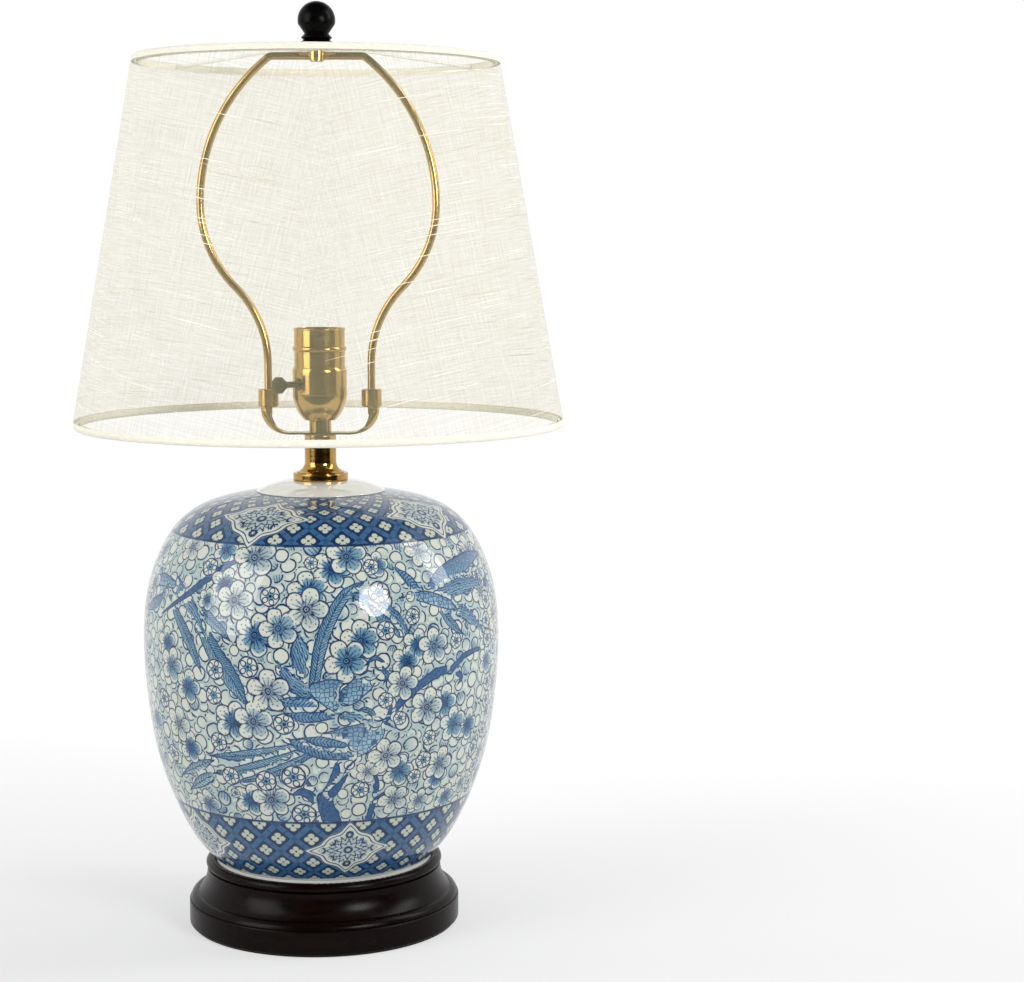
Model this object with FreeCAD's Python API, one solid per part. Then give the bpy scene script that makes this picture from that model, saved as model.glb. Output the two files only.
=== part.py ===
"""Ginger jar table lamp, as an assembly of separate pieces.

Millimetres, +Z up. The origin is on the lamp's axis at the surface it stands on.
The front looks towards -Y.
"""
import FreeCAD, Part
import math
import os

V = FreeCAD.Vector
UP = V(0, 0, 1)

# ---------------------------------------------------------------- driving sizes
# Clearances
RUN = 0.05              # radial, a pin or shaft that turns
REST = 0.15             # between pieces that rest on each other and part
LOOSE = 0.3             # round a piece that slides or lifts off
BITE = 0.01             # one thread on another, radial

# Stand
FELT_T = 1.5
FELT_W = 16.5
FELT_EDGE = 2.0         # the felt stops this far inside the plinth
PLINTH_R = 92.5
PLINTH_H = 16.0
SWELL_H = 5.0           # rounded moulding over the plinth
SWELL_IN = 5.2
COVE_H = 16.4           # hollow moulding up to the rim
COVE_IN = 6.4
RIM_TUBE = 3.3
RIM_R = 80.8
SEAT_DROP = 4.0         # seat of the jar below the rim's top
STAND_WALL = 20.5       # round the hollow under the stand
STAND_WELL_H = 12.5
CORD_HOLE_R = 4.0
CORD_HOLE_Z = 8.5
BUSH_WALL = 0.8
BUSH_FLANGE_R = 6.0
BUSH_FLANGE_T = 1.6
BUSH_L = 13.0
SPOT_DEPTH = 1.0        # flat cut in the plinth for the bushing's flange

# Pipe and its fastenings
PIPE_R = 5.1
PIPE_WALL = 1.2
PIPE_SLIP = 0.2         # holes that the pipe only passes through
PIPE_TAIL = 3.0         # thread left below the nut
PIPE_HEAD = 3.0         # thread inside the socket, above the hub
WASHER_R = 16.0
WASHER_T = 1.6
NUT_FLATS = 15.9
NUT_T = 4.5

# Jar
FOOT_R = 74.0
FOOT_GAP = 1.0          # between the foot and the rim of the stand
FOOT_RING_W = 8.0
FOOT_RING_H = 4.0
FOOT_LINE_H = 5.0       # straight foot before the jar swells
JAR_FLOOR_T = 6.0
JAR_WALL = 5.0
BELLY_R = 120.6
BELLY_H = 155.2         # above the seat
JAR_H = 255.5
MOUTH_R = 30.0
# The outline from foot to belly and from belly to mouth, each as shares of that
# stretch's height and of its change of radius.
LOWER_SHARES = ((0.105, 0.22), (0.263, 0.52), (0.472, 0.78), (0.735, 0.945))
UPPER_SHARES = ((0.326, 0.034), (0.65, 0.18), (0.807, 0.325), (0.884, 0.453), (0.966, 0.738))

# White cap over the mouth
CAP_R = 43.4
CAP_EDGE = 1.0
CAP_H = 7.6
CAP_WALL = 3.6
SPIGOT_GAP = 0.8
SPIGOT_WALL = 4.0
SPIGOT_H = 9.0

# Brass neck
NECK_R = 10.7
NECK_WALL = 1.2
NECK_H = 31.0
FLANGE_R = 18.6
FLANGE_T = 4.9
FLARE_R = 16.0
FLARE_H = 8.0
EDGE_ROUND = 0.9

# Harp saddle: a strip whose ends roll up into channels
STRIP_W = 12.7
STRIP_T = 1.3
ARM_OUT = 40.0          # back of each channel, from the axis
ARM_BEND = 17.0
ARM_W = 8.2
ARM_DEPTH = 6.9
ARM_TOP = 27.0          # above the strip's underside
ROLL_START = 19.0       # where the strip begins to roll

# Harp
WIRE_R = 2.6
LEG_X = 34.8
LEG_FOOT = 13.5         # end of the leg above the strip's underside
LEG_BEND_R = 72.6
LOWER_BOW_R = 78.8
UPPER_BOW_R = 123.4
BOW_X = 79.0
BOW_Z = 154.4           # widest place above the strip's underside
HARP_H = 251.8          # centre of the crown above the strip's underside
CROWN_BEND_R = 6.0      # the wire's centre line where it turns into the crown
CROWN_PAD_R = 5.6
CROWN_PAD_T = 5.6       # flattened middle of the crown, a little proud of the wire
FERRULE_R = 6.85
FERRULE_BORE = 5.75
FERRULE_H = 12.0
FERRULE_Z = 18.4        # bottom of the ferrule above the strip's underside
FERRULE_LIP = 1.4

# Stud on the crown
STUD_R = 1.8
STUD_HEAD_R = 4.3
STUD_HEAD_T = 1.0
SHOULDER_T = 0.5
POST_R = 3.15
POST_L = 13.0

# Socket
HUB_R = 7.5
HUB_H = 7.8
HUB_SCREW_R = 1.6
CUP_R = 18.3
CUP_WALL = 0.9
CUP_DOME_R = 25.8
CUP_DOME_H = 18.7       # from the hub's top to the straight wall
CUP_STRAIGHT = 14.4
CUP_LIP_H = 3.1
CUP_LIP_IN = 0.8
SHELL_R = 17.1
SHELL_WALL = 0.6
SHELL_H = 31.2
SHELL_IN_CUP = 5.0
BEAD_R = 1.9
BEAD_STAND = 1.1
BEAD_Z = 17.4           # above the shell's lower edge
LINER_T = 0.9
LINER_SHORT = 3.7       # below the shell's top
LINER_H = 42.0
CORE_H = 27.0
CORE_TAPER = 3.1
SCREW_SHELL_R = 13.2    # lamp thread, measured inside the crests
SCREW_SHELL_T = 0.5
THREAD_PITCH = 3.63
THREAD_DEPTH = 0.7
THREAD_TURNS = 5
SHELL_COLLAR = 3.0      # plain mouth above the thread
SHELL_FLOOR_R = 9.0
CONTACT_W = 7.0
CONTACT_T = 0.5
CONTACT_RISE = 4.5
TERMINAL_R = 2.6
TERMINAL_HEAD = 1.8
TERMINAL_SHANK_R = 1.4
TERMINAL_Z = 6.0        # above the core's underside
TERMINAL_SEAT = 11.6    # distance of the head's seat from the axis

# Turn key
KEY_ANGLE = 47.0        # from the front towards -X
KEY_R = 2.1
KEY_Z = 25.2            # above the hub's top
KEY_IN = 3.0
KEY_HOLE_R = 4.45
LINER_HOLE_R = 3.6
KNOB_FROM = 30.6
KNOB_L = 8.1
KNOB_H = 10.9
KNOB_T = 4.8
KNOB_CHAMFER = 2.5
KNOB_ROUND = 0.7
KNOB_GRIP = 3.4         # how far the shaft goes into the knob
KNOB_COLLAR_R = 3.0
KNOB_COLLAR_L = 1.2

# Shade
SHADE_BOTTOM_R = 165.0
SHADE_TOP_R = 121.3
SHADE_H = 245.8
SHADE_DROP = 3.6        # top edge below the hub washer's underside
FABRIC_T = 0.7
FILM_T = 0.5
GLUE_T = 0.05           # between the linen and the film
HEM_W = 5.0
HEM_L = 4.8
RING_R = 1.3
SPOKE_R = 1.0
SPOKE_LAP = 0.6         # how far a spoke laps into the hub washer
SPOKES = 3
SPOKE_FLAT = 40.0       # level part, clear of the harp's crown
SPOKE_TURN = 30.0       # first spoke from +X
HUB_WASHER_R = 12.7
HUB_WASHER_T = 1.0

# Finial
FINIAL_H = 31.2
FINIAL_BALL_R = 12.5
FINIAL_NECK_R = 8.0
FINIAL_NECK_Z = 9.9
FINIAL_BEAD_R = 10.3
FINIAL_BEAD_Z = 7.3
FINIAL_WAIST_R = 8.6
FINIAL_WAIST_Z = 5.5
FINIAL_BASE_R = 13.25
FINIAL_BASE_Z = 2.3
FINIAL_FOOT_R = 9.0

# ---------------------------------------------------------------- derived places
STAND_WELL_R = PLINTH_R - STAND_WALL
FELT_R = PLINTH_R - FELT_EDGE
SWELL_TOP = FELT_T + PLINTH_H + SWELL_H
RIM_Z = SWELL_TOP + COVE_H + RIM_TUBE
RIM_TOP = RIM_Z + RIM_TUBE
SEAT_Z = RIM_TOP - SEAT_DROP
WELL_TOP = FELT_T + STAND_WELL_H
MOUTH_Z = SEAT_Z + JAR_H
CAP_TOP = MOUTH_Z + CAP_H
SADDLE_Z = CAP_TOP + NECK_H
HUB_Z = SADDLE_Z + STRIP_T
HUB_TOP = HUB_Z + HUB_H
PIPE_BOTTOM = WELL_TOP - WASHER_T - NUT_T - PIPE_TAIL
PIPE_TOP = HUB_TOP + PIPE_HEAD
CUP_TOP = HUB_TOP + CUP_DOME_H + CUP_STRAIGHT + CUP_LIP_H
SHELL_Z = CUP_TOP - SHELL_IN_CUP
SHELL_TOP = SHELL_Z + SHELL_H
LINER_R = SHELL_R - SHELL_WALL
LINER_TOP = SHELL_TOP - LINER_SHORT
CORE_R = LINER_R - LINER_T
CORE_TOP = LINER_TOP - THREAD_PITCH * THREAD_TURNS - SHELL_COLLAR - 3 * SCREW_SHELL_T
CORE_Z = CORE_TOP - CORE_H
KEY_AXIS_Z = HUB_TOP + KEY_Z
CROWN_Z = SADDLE_Z + HARP_H
CROWN_TOP = CROWN_Z + CROWN_PAD_T / 2
STUD_TOP = CROWN_TOP + 2 * RUN + SHOULDER_T
WASHER_Z = STUD_TOP + REST
FINIAL_Z = WASHER_Z + HUB_WASHER_T + REST
SHADE_TOP_Z = WASHER_Z - SHADE_DROP
SHADE_BOTTOM_Z = SHADE_TOP_Z - SHADE_H
SLOPE = math.atan2(SHADE_BOTTOM_R - SHADE_TOP_R, SHADE_H)
SLANT = math.hypot(SHADE_BOTTOM_R - SHADE_TOP_R, SHADE_H)


# ---------------------------------------------------------------- drawing helpers
def flat(point):
    """A point (radius, height) on the XZ plane."""
    return V(point[0], 0, point[1])


def swing(centre, radius, first, last):
    """An arc for outline(): its first point, then its (middle, last) points."""
    def at(degrees):
        angle = math.radians(degrees)
        return (centre[0] + radius * math.cos(angle), centre[1] + radius * math.sin(angle))
    return [at(first), (at((first + last) / 2), at(last))]


def outline(steps):
    """A closed wire. A pair of numbers is a line's end, a pair of points an arc."""
    edges = []
    here = steps[0]
    for step in list(steps[1:]) + [steps[0]]:
        if hasattr(step, "toShape"):
            edges.append(step.toShape())
            last = step.value(step.LastParameter)
            here = (last.x, last.z)
            continue
        bend = isinstance(step[0], tuple)
        end = step[1] if bend else step
        if math.dist(here, end) < 1e-6:
            continue
        if bend:
            edges.append(Part.Arc(flat(here), flat(step[0]), flat(end)).toShape())
        else:
            edges.append(Part.LineSegment(flat(here), flat(end)).toShape())
        here = end
    return Part.Wire(edges)


def turned(steps, angle=360):
    """A solid of revolution about the lamp's axis."""
    solid = Part.Face(outline(steps)).revolve(V(0, 0, 0), UP, angle)
    return solid if solid.Volume > 0 else solid.reversed()


def rod(radius, length, base, direction=UP):
    return Part.makeCylinder(radius, length, base, direction)


def tube(outer, inner, length, base):
    return rod(outer, length, base).cut(rod(inner, length, base))


def torus(big, small, height):
    return Part.makeTorus(big, small, V(0, 0, height))


# ---------------------------------------------------------------- foot and jar
def felt_pad():
    return tube(FELT_R, FELT_R - FELT_W, FELT_T, V(0, 0, 0))


def base_stand():
    groove = 0.9
    plinth_top = FELT_T + PLINTH_H
    swell_r = PLINTH_R - groove
    swell_mid = (swell_r - 0.3 * SWELL_IN, plinth_top + 0.72 * SWELL_H)
    cove_low = PLINTH_R - SWELL_IN - groove
    cove_high = cove_low - COVE_IN
    cove_mid = (cove_high + 0.28 * COVE_IN, SWELL_TOP + 0.42 * COVE_H)
    rim_centre = (RIM_R - RIM_TUBE, RIM_Z)
    bead_r = RIM_TUBE / 4
    seat_r = FOOT_R + FOOT_GAP
    body = turned([
        (PIPE_R + PIPE_SLIP, WELL_TOP),
        (STAND_WELL_R, WELL_TOP),
        (STAND_WELL_R, FELT_T),
        (PLINTH_R - groove, FELT_T),
        ((PLINTH_R - 0.3 * groove, FELT_T + 0.3 * groove), (PLINTH_R, FELT_T + groove)),
        (PLINTH_R, plinth_top - groove),
        ((PLINTH_R - 0.3 * groove, plinth_top - 0.3 * groove), (PLINTH_R - groove, plinth_top)),
        (PLINTH_R - 2.2 * groove, plinth_top),
        (PLINTH_R - 2.2 * groove, plinth_top + 0.5 * groove),
        (swell_r, plinth_top + 0.5 * groove),
        (swell_mid, (PLINTH_R - SWELL_IN, SWELL_TOP)),
        (cove_low, SWELL_TOP),
        (cove_mid, (cove_high, SWELL_TOP + COVE_H)),
        *swing(rim_centre, RIM_TUBE, -65, 90),
        *swing((seat_r + bead_r, RIM_TOP - 1.2 * bead_r), bead_r, 60, 180),
        (seat_r, SEAT_Z),
        (PIPE_R + PIPE_SLIP, SEAT_Z),
    ])
    spot = PLINTH_R - SPOT_DEPTH
    cord_hole = rod(CORD_HOLE_R, PLINTH_R, V(0, STAND_WELL_R - 10, CORD_HOLE_Z), V(0, 1, 0))
    spot_face = rod(BUSH_FLANGE_R + LOOSE, PLINTH_R, V(0, spot, CORD_HOLE_Z), V(0, 1, 0))
    return body.cut(cord_hole).cut(spot_face)


def cord_bushing():
    back = V(0, 1, 0)
    spot = PLINTH_R - SPOT_DEPTH
    barrel = rod(CORD_HOLE_R, BUSH_L, V(0, spot - BUSH_L, CORD_HOLE_Z), back)
    flange = rod(BUSH_FLANGE_R, BUSH_FLANGE_T, V(0, spot, CORD_HOLE_Z), back)
    body = barrel.fuse(flange).removeSplitter()
    rim = [e for e in body.Edges if abs(e.CenterOfMass.y - spot - BUSH_FLANGE_T) < 1e-3]
    body = body.makeFillet(BUSH_FLANGE_T / 3, rim)
    bore = rod(CORD_HOLE_R - BUSH_WALL, PLINTH_R, V(0, spot - 2 * BUSH_L, CORD_HOLE_Z), back)
    return body.cut(bore)


def base_washer():
    return tube(WASHER_R, PIPE_R + PIPE_SLIP, WASHER_T, V(0, 0, WELL_TOP - WASHER_T))


def hexagon(across_flats, height, base_z):
    corner_r = across_flats / math.sqrt(3)
    corners = [V(corner_r * math.cos(math.radians(a)), corner_r * math.sin(math.radians(a)), base_z)
               for a in range(0, 361, 60)]
    return Part.Face(Part.makePolygon(corners)).extrude(V(0, 0, height))


def base_nut():
    low = WELL_TOP - WASHER_T - NUT_T
    prism = hexagon(NUT_FLATS, NUT_T, low)
    round_off = turned([
        (0, low),
        (0.5 * NUT_FLATS, low),
        (0.6 * NUT_FLATS, low + 0.1 * NUT_FLATS),
        (0.6 * NUT_FLATS, low + NUT_T),
        (0, low + NUT_T),
    ])
    return prism.common(round_off).cut(rod(PIPE_R + BITE, NUT_T, V(0, 0, low)))


def lamp_pipe():
    return tube(PIPE_R, PIPE_R - PIPE_WALL, PIPE_TOP - PIPE_BOTTOM, V(0, 0, PIPE_BOTTOM))


def jar_stations():
    """Points (radius, height) on the outside of the jar, from the foot to the cap's edge."""
    foot = (FOOT_R, SEAT_Z + FOOT_LINE_H)
    belly = (BELLY_R, SEAT_Z + BELLY_H)
    edge = (CAP_R, MOUTH_Z)
    rows = [foot]
    for up, out in LOWER_SHARES:
        rows.append((foot[0] + out * (belly[0] - foot[0]), SEAT_Z + up * BELLY_H))
    rows.append(belly)
    for up, inward in UPPER_SHARES:
        rows.append((belly[0] + inward * (edge[0] - belly[0]), belly[1] + up * (edge[1] - belly[1])))
    rows.append(edge)
    return rows


def jar_curves():
    """The jar's outside as a curve, and its inside one wall's thickness away."""
    rows = jar_stations()
    outside = Part.BSplineCurve()
    outside.interpolate([flat(p) for p in rows])
    inner_points = []
    for row in rows[1:]:
        along = outside.tangent(outside.parameter(flat(row)))[0]
        inner_points.append(flat(row) + V(-along.z, 0, along.x) * JAR_WALL)
    inside = Part.BSplineCurve()
    inside.interpolate(inner_points[::-1])
    return outside, inside, inner_points


def jar_body():
    outside, inside, inner_points = jar_curves()
    hole_r = PIPE_R + PIPE_SLIP
    floor_low = SEAT_Z + FOOT_RING_H
    floor_top = floor_low + JAR_FLOOR_T
    lip = 1.0
    first, last = inner_points[0], inner_points[-1]
    return turned([
        (hole_r, floor_low),
        (FOOT_R - FOOT_RING_W, floor_low),
        (FOOT_R - FOOT_RING_W, SEAT_Z),
        (FOOT_R - lip, SEAT_Z),
        ((FOOT_R - 0.3 * lip, SEAT_Z + 0.3 * lip), (FOOT_R, SEAT_Z + lip)),
        (FOOT_R, SEAT_Z + FOOT_LINE_H),
        outside,
        (MOUTH_R + lip, MOUTH_Z),
        ((MOUTH_R + 0.3 * lip, MOUTH_Z - 0.3 * lip), (MOUTH_R, MOUTH_Z - lip)),
        (MOUTH_R, last.z),
        (last.x, last.z),
        inside,
        (0.5 * (first.x + FOOT_R - FOOT_RING_W), floor_top + 0.2 * (first.z - floor_top)),
        (FOOT_R - FOOT_RING_W, floor_top),
        (hole_r, floor_top),
    ])


# ---------------------------------------------------------------- cap and neck
def mouth_cap():
    spigot_r = MOUTH_R - SPIGOT_GAP
    hollow_r = spigot_r - SPIGOT_WALL
    edge_top = MOUTH_Z + CAP_EDGE
    slope_mid = (0.56 * CAP_R + 0.44 * FLANGE_R, CAP_TOP - 0.36 * (CAP_H - CAP_EDGE))
    return turned([
        (PIPE_R + PIPE_SLIP, CAP_TOP - CAP_WALL),
        (hollow_r, CAP_TOP - CAP_WALL - 1),
        (hollow_r, MOUTH_Z - SPIGOT_H),
        (spigot_r, MOUTH_Z - SPIGOT_H),
        (spigot_r, MOUTH_Z),
        (CAP_R - 0.4, MOUTH_Z),
        ((CAP_R, MOUTH_Z + 0.5 * CAP_EDGE), (CAP_R - 0.6, edge_top)),
        (slope_mid, (FLANGE_R + EDGE_ROUND, CAP_TOP)),
        (PIPE_R + PIPE_SLIP, CAP_TOP),
    ])


def brass_neck():
    e = EDGE_ROUND
    flange_top = CAP_TOP + FLANGE_T
    bore = NECK_R - NECK_WALL
    flare_mid = (NECK_R + 0.27 * (FLARE_R - NECK_R), flange_top + 0.4 * FLARE_H)
    return turned([
        (bore, CAP_TOP),
        *swing((FLANGE_R - e, CAP_TOP + e), e, -90, 0),
        *swing((FLANGE_R - e, flange_top - e), e, 0, 90),
        (FLARE_R, flange_top),
        (FLARE_R, flange_top + 0.6),
        (flare_mid, (NECK_R, flange_top + FLARE_H)),
        *swing((NECK_R - e, SADDLE_Z - e), e, 0, 90),
        (PIPE_R + PIPE_SLIP, SADDLE_Z),
        (PIPE_R + PIPE_SLIP, SADDLE_Z - 2 * NECK_WALL),
        (bore, SADDLE_Z - 2 * NECK_WALL),
    ])


# ---------------------------------------------------------------- harp saddle
def channel_wire(back, inward, roll):
    """One cross-section of the saddle's arm.

    back is the middle of the outer face, inward points to the harp's inside, and
    roll runs from 0, a flat strip, to 1, a channel. The width lies along Y.
    """
    width = STRIP_W + (ARM_W - STRIP_W) * roll
    depth = ARM_DEPTH * roll
    inner_depth = depth + STRIP_T * (1 - roll)
    inner_half = width / 2 - STRIP_T * roll
    across = V(0, 1, 0)

    def at(side, down):
        return back + across * side + inward * down

    def curve(half, end_depth, middle_depth):
        pole = (4 * middle_depth - end_depth) / 3
        bezier = Part.BezierCurve()
        bezier.setPoles([at(half, end_depth), at(half, pole), at(-half, pole), at(-half, end_depth)])
        return bezier.toBSpline()

    outer = curve(width / 2, depth, 0)
    inner = curve(inner_half, inner_depth, STRIP_T)
    return Part.Wire([
        outer.toShape(),
        Part.LineSegment(at(-width / 2, depth), at(-inner_half, inner_depth)).toShape(),
        inner.toShape(),
        Part.LineSegment(at(inner_half, inner_depth), at(width / 2, depth)).toShape(),
    ])


def saddle_arm():
    """The arm on +X: flat strip, rolled bend and upright channel."""
    centre = V(ARM_OUT - ARM_BEND, 0, SADDLE_Z + ARM_BEND)
    stations = [channel_wire(V(ROLL_START, 0, SADDLE_Z), UP, 0.0)]
    for degrees, roll in ((-90, 0.03), (-67, 0.25), (-45, 0.6), (-22, 0.88), (0, 1.0)):
        angle = math.radians(degrees)
        outward = V(math.cos(angle), 0, math.sin(angle))
        stations.append(channel_wire(centre + outward * ARM_BEND, outward * -1, roll))
    bend = Part.makeLoft(stations, True, False)
    foot = channel_wire(V(ARM_OUT, 0, SADDLE_Z + ARM_BEND), V(-1, 0, 0), 1.0)
    rise = ARM_TOP - ARM_BEND
    upright = Part.Face(foot).extrude(V(0, 0, rise))
    return bend.fuse(upright)


def harp_saddle():
    strip = Part.makeBox(2 * ROLL_START, STRIP_W, STRIP_T, V(-ROLL_START, -STRIP_W / 2, SADDLE_Z))
    arm = saddle_arm()
    other = arm.copy().rotate(V(0, 0, 0), UP, 180)
    body = strip.fuse([arm, other])
    return body.cut(rod(PIPE_R + PIPE_SLIP, STRIP_T, V(0, 0, SADDLE_Z))).removeSplitter()


# ---------------------------------------------------------------- harp
def harp_points():
    """The harp's centre line on +X: the leg's ends, then each arc's centre and far end."""
    bow = V(BOW_X, 0, SADDLE_Z + BOW_Z)
    low_centre = bow - V(LOWER_BOW_R, 0, 0)
    high_centre = bow - V(UPPER_BOW_R, 0, 0)
    reach = LOWER_BOW_R + LEG_BEND_R
    across = LEG_X + LEG_BEND_R - low_centre.x
    bend_centre = V(LEG_X + LEG_BEND_R, 0, low_centre.z - math.sqrt(reach ** 2 - across ** 2))
    meet = low_centre + (bend_centre - low_centre) * (LOWER_BOW_R / reach)
    left = UPPER_BOW_R - CROWN_BEND_R
    rise = CROWN_Z - CROWN_BEND_R - high_centre.z
    last_centre = high_centre + V(math.sqrt(left ** 2 - rise ** 2), 0, rise)
    turn = high_centre + (last_centre - high_centre) * (UPPER_BOW_R / left)
    crown_end = last_centre + V(0, 0, CROWN_BEND_R)
    leg_foot = V(LEG_X, 0, SADDLE_Z + LEG_FOOT)
    leg_top = V(LEG_X, 0, bend_centre.z)
    arcs = [(bend_centre, meet), (low_centre, bow), (high_centre, turn), (last_centre, crown_end)]
    return leg_foot, leg_top, arcs


def wire_arc(start, centre, end):
    """Round wire bent about a centre."""
    spoke_in, spoke_out = start - centre, end - centre
    axis = spoke_in.cross(spoke_out).normalize()
    section = Part.Face(Part.Wire(Part.makeCircle(WIRE_R, start, axis.cross(spoke_in))))
    return section.revolve(centre, axis, math.degrees(spoke_in.getAngle(spoke_out)))


def harp():
    """The bent wire, side by side from its legs to the flattened crown."""
    leg_foot, here, arcs = harp_points()
    limb = rod(WIRE_R, here.z - leg_foot.z, leg_foot)
    for centre, end in arcs:
        limb = limb.fuse(wire_arc(here, centre, end))
        here = end
    crown = rod(WIRE_R, 2 * here.x, V(-here.x, 0, CROWN_Z), V(1, 0, 0))
    pad = rod(CROWN_PAD_R, CROWN_PAD_T, V(0, 0, CROWN_Z - CROWN_PAD_T / 2))
    hole = rod(STUD_R + RUN, 4 * WIRE_R, V(0, 0, CROWN_Z - 2 * WIRE_R))
    return crown.fuse([limb, limb.mirror(V(0, 0, 0), V(1, 0, 0)), pad]).cut(hole)


def ferrule(side):
    low = SADDLE_Z + FERRULE_Z
    centre = V(side * LEG_X, 0, low)
    sleeve = rod(FERRULE_R, FERRULE_H, centre)
    sleeve = sleeve.makeChamfer(0.6, [e for e in sleeve.Edges if len(e.Vertexes) == 1])
    well = rod(FERRULE_BORE, FERRULE_H - FERRULE_LIP, centre)
    return sleeve.cut(well).cut(rod(WIRE_R + LOOSE, FERRULE_H, centre))


def harp_stud():
    crown_low = CROWN_Z - CROWN_PAD_T / 2 - 2 * RUN
    shoulder_low = CROWN_TOP + 2 * RUN
    return turned([
        (0, crown_low - STUD_HEAD_T),
        (STUD_HEAD_R - 0.5, crown_low - STUD_HEAD_T),
        (STUD_HEAD_R, crown_low - 0.5 * STUD_HEAD_T),
        (STUD_HEAD_R, crown_low),
        (STUD_R, crown_low),
        (STUD_R, shoulder_low),
        (STUD_HEAD_R, shoulder_low),
        (STUD_HEAD_R, STUD_TOP),
        (POST_R, STUD_TOP),
        (POST_R, STUD_TOP + POST_L - 0.8),
        (POST_R - 0.8, STUD_TOP + POST_L),
        (0, STUD_TOP + POST_L),
    ])


# ---------------------------------------------------------------- socket
def key_direction():
    angle = math.radians(KEY_ANGLE)
    return V(-math.sin(angle), -math.cos(angle), 0)


def key_rod(radius, start, end):
    """A round bar on the key's axis, between two distances from the lamp's axis."""
    way = key_direction()
    return rod(radius, end - start, V(0, 0, KEY_AXIS_Z) + way * start, way)


def dome(wall):
    """Arc of the cup's dome, seen from outside (wall 0) or inside."""
    centre = (CUP_R - CUP_DOME_R, HUB_TOP + CUP_DOME_H)
    radius = CUP_DOME_R - wall
    drop = CUP_DOME_H - 0.5 - wall
    return swing(centre, radius, -math.degrees(math.asin(drop / radius)), 0)


def socket_cup():
    wall_top = CUP_TOP - CUP_LIP_H
    inner = dome(CUP_WALL)
    outer = dome(0)
    bore = PIPE_R + BITE
    inner_r = CUP_R - CUP_WALL
    body = turned([
        (bore, HUB_Z),
        (HUB_R, HUB_Z),
        (HUB_R, HUB_TOP),
        *outer,
        (CUP_R, wall_top),
        ((CUP_R - 0.2 * CUP_LIP_IN, wall_top + 0.5 * CUP_LIP_H), (CUP_R - CUP_LIP_IN, CUP_TOP)),
        (SHELL_R + RUN, CUP_TOP),
        (SHELL_R + RUN, wall_top),
        (inner_r, wall_top - 1),
        inner[1][1],
        (inner[1][0], inner[0]),
        (bore, inner[0][1]),
    ])
    return body.cut(key_rod(KEY_HOLE_R, 0.5 * CUP_R, 1.5 * CUP_R))


def hub_screw():
    back = V(0, 1, 0)
    height = HUB_Z + 0.5 * HUB_H
    reach = HUB_R - PIPE_R + 1.0
    screw = rod(HUB_SCREW_R, reach, V(0, PIPE_R, height), back)
    slot = Part.makeBox(2 * HUB_SCREW_R, 0.8, 0.5, V(-HUB_SCREW_R, PIPE_R + reach - 0.8, height - 0.25))
    return screw.cut(slot)


def drill_hub(cup):
    height = HUB_Z + 0.5 * HUB_H
    return cup.cut(rod(HUB_SCREW_R, HUB_R, V(0, 0.5 * PIPE_R, height), V(0, 1, 0)))


def socket_shell():
    inner = SHELL_R - SHELL_WALL
    bead_z = SHELL_Z + BEAD_Z
    curl = 0.4

    def bead(radius):
        return [(radius, bead_z - BEAD_R), ((radius + BEAD_STAND, bead_z), (radius, bead_z + BEAD_R))]

    low, high = bead(inner)
    return turned([
        (inner, SHELL_Z),
        (SHELL_R, SHELL_Z),
        *bead(SHELL_R),
        (SHELL_R, SHELL_TOP - 3 * curl),
        ((SHELL_R + curl, SHELL_TOP - curl), (SHELL_R - curl, SHELL_TOP)),
        (inner, SHELL_TOP - curl),
        high[1],
        (high[0], low),
    ])


def insulating_liner():
    sleeve = tube(LINER_R, CORE_R, LINER_H, V(0, 0, LINER_TOP - LINER_H))
    return sleeve.cut(key_rod(LINER_HOLE_R, 0.5 * CUP_R, 1.5 * CUP_R))


def terminal_ways():
    """The two directions, square to the key, in which the terminal screws face."""
    way = key_direction()
    return [V(-way.y, way.x, 0) * sign for sign in (1, -1)]


def socket_interior():
    shoulder = 3.0
    body = turned([
        (0, CORE_Z),
        (CORE_R - CORE_TAPER, CORE_Z),
        (CORE_R, CORE_Z + 2 * CORE_TAPER),
        (CORE_R, CORE_TOP - shoulder),
        (CORE_R - 1.4, CORE_TOP),
        (0, CORE_TOP),
    ])
    body = body.cut(key_rod(KEY_R + RUN, KEY_IN - RUN, 2 * CORE_R))
    height = CORE_Z + TERMINAL_Z
    for way in terminal_ways():
        seat = V(0, 0, height) + way * TERMINAL_SEAT
        body = body.cut(rod(TERMINAL_R + 1, CORE_R, seat, way))
        body = body.cut(rod(TERMINAL_SHANK_R, CORE_R, V(0, 0, height) + way * (CORE_R / 2), way))
    return body


def terminal_screws():
    height = CORE_Z + TERMINAL_Z
    screws = []
    for way in terminal_ways():
        head = rod(TERMINAL_R, TERMINAL_HEAD, V(0, 0, height) + way * TERMINAL_SEAT, way)
        shank_l = TERMINAL_SEAT - CORE_R / 2
        shank = rod(TERMINAL_SHANK_R, shank_l, V(0, 0, height) + way * (CORE_R / 2), way)
        slot_base = V(0, 0, height) + way * (TERMINAL_SEAT + TERMINAL_HEAD - 0.6)
        slot = Part.makeBox(0.6, 2 * TERMINAL_R, 0.6, V(0, -TERMINAL_R, -0.3))
        slot.rotate(V(0, 0, 0), UP, math.degrees(math.atan2(way.y, way.x)))
        slot.translate(slot_base)
        screws.append(head.fuse(shank).cut(slot).removeSplitter())
    return Part.makeCompound(screws)


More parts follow.
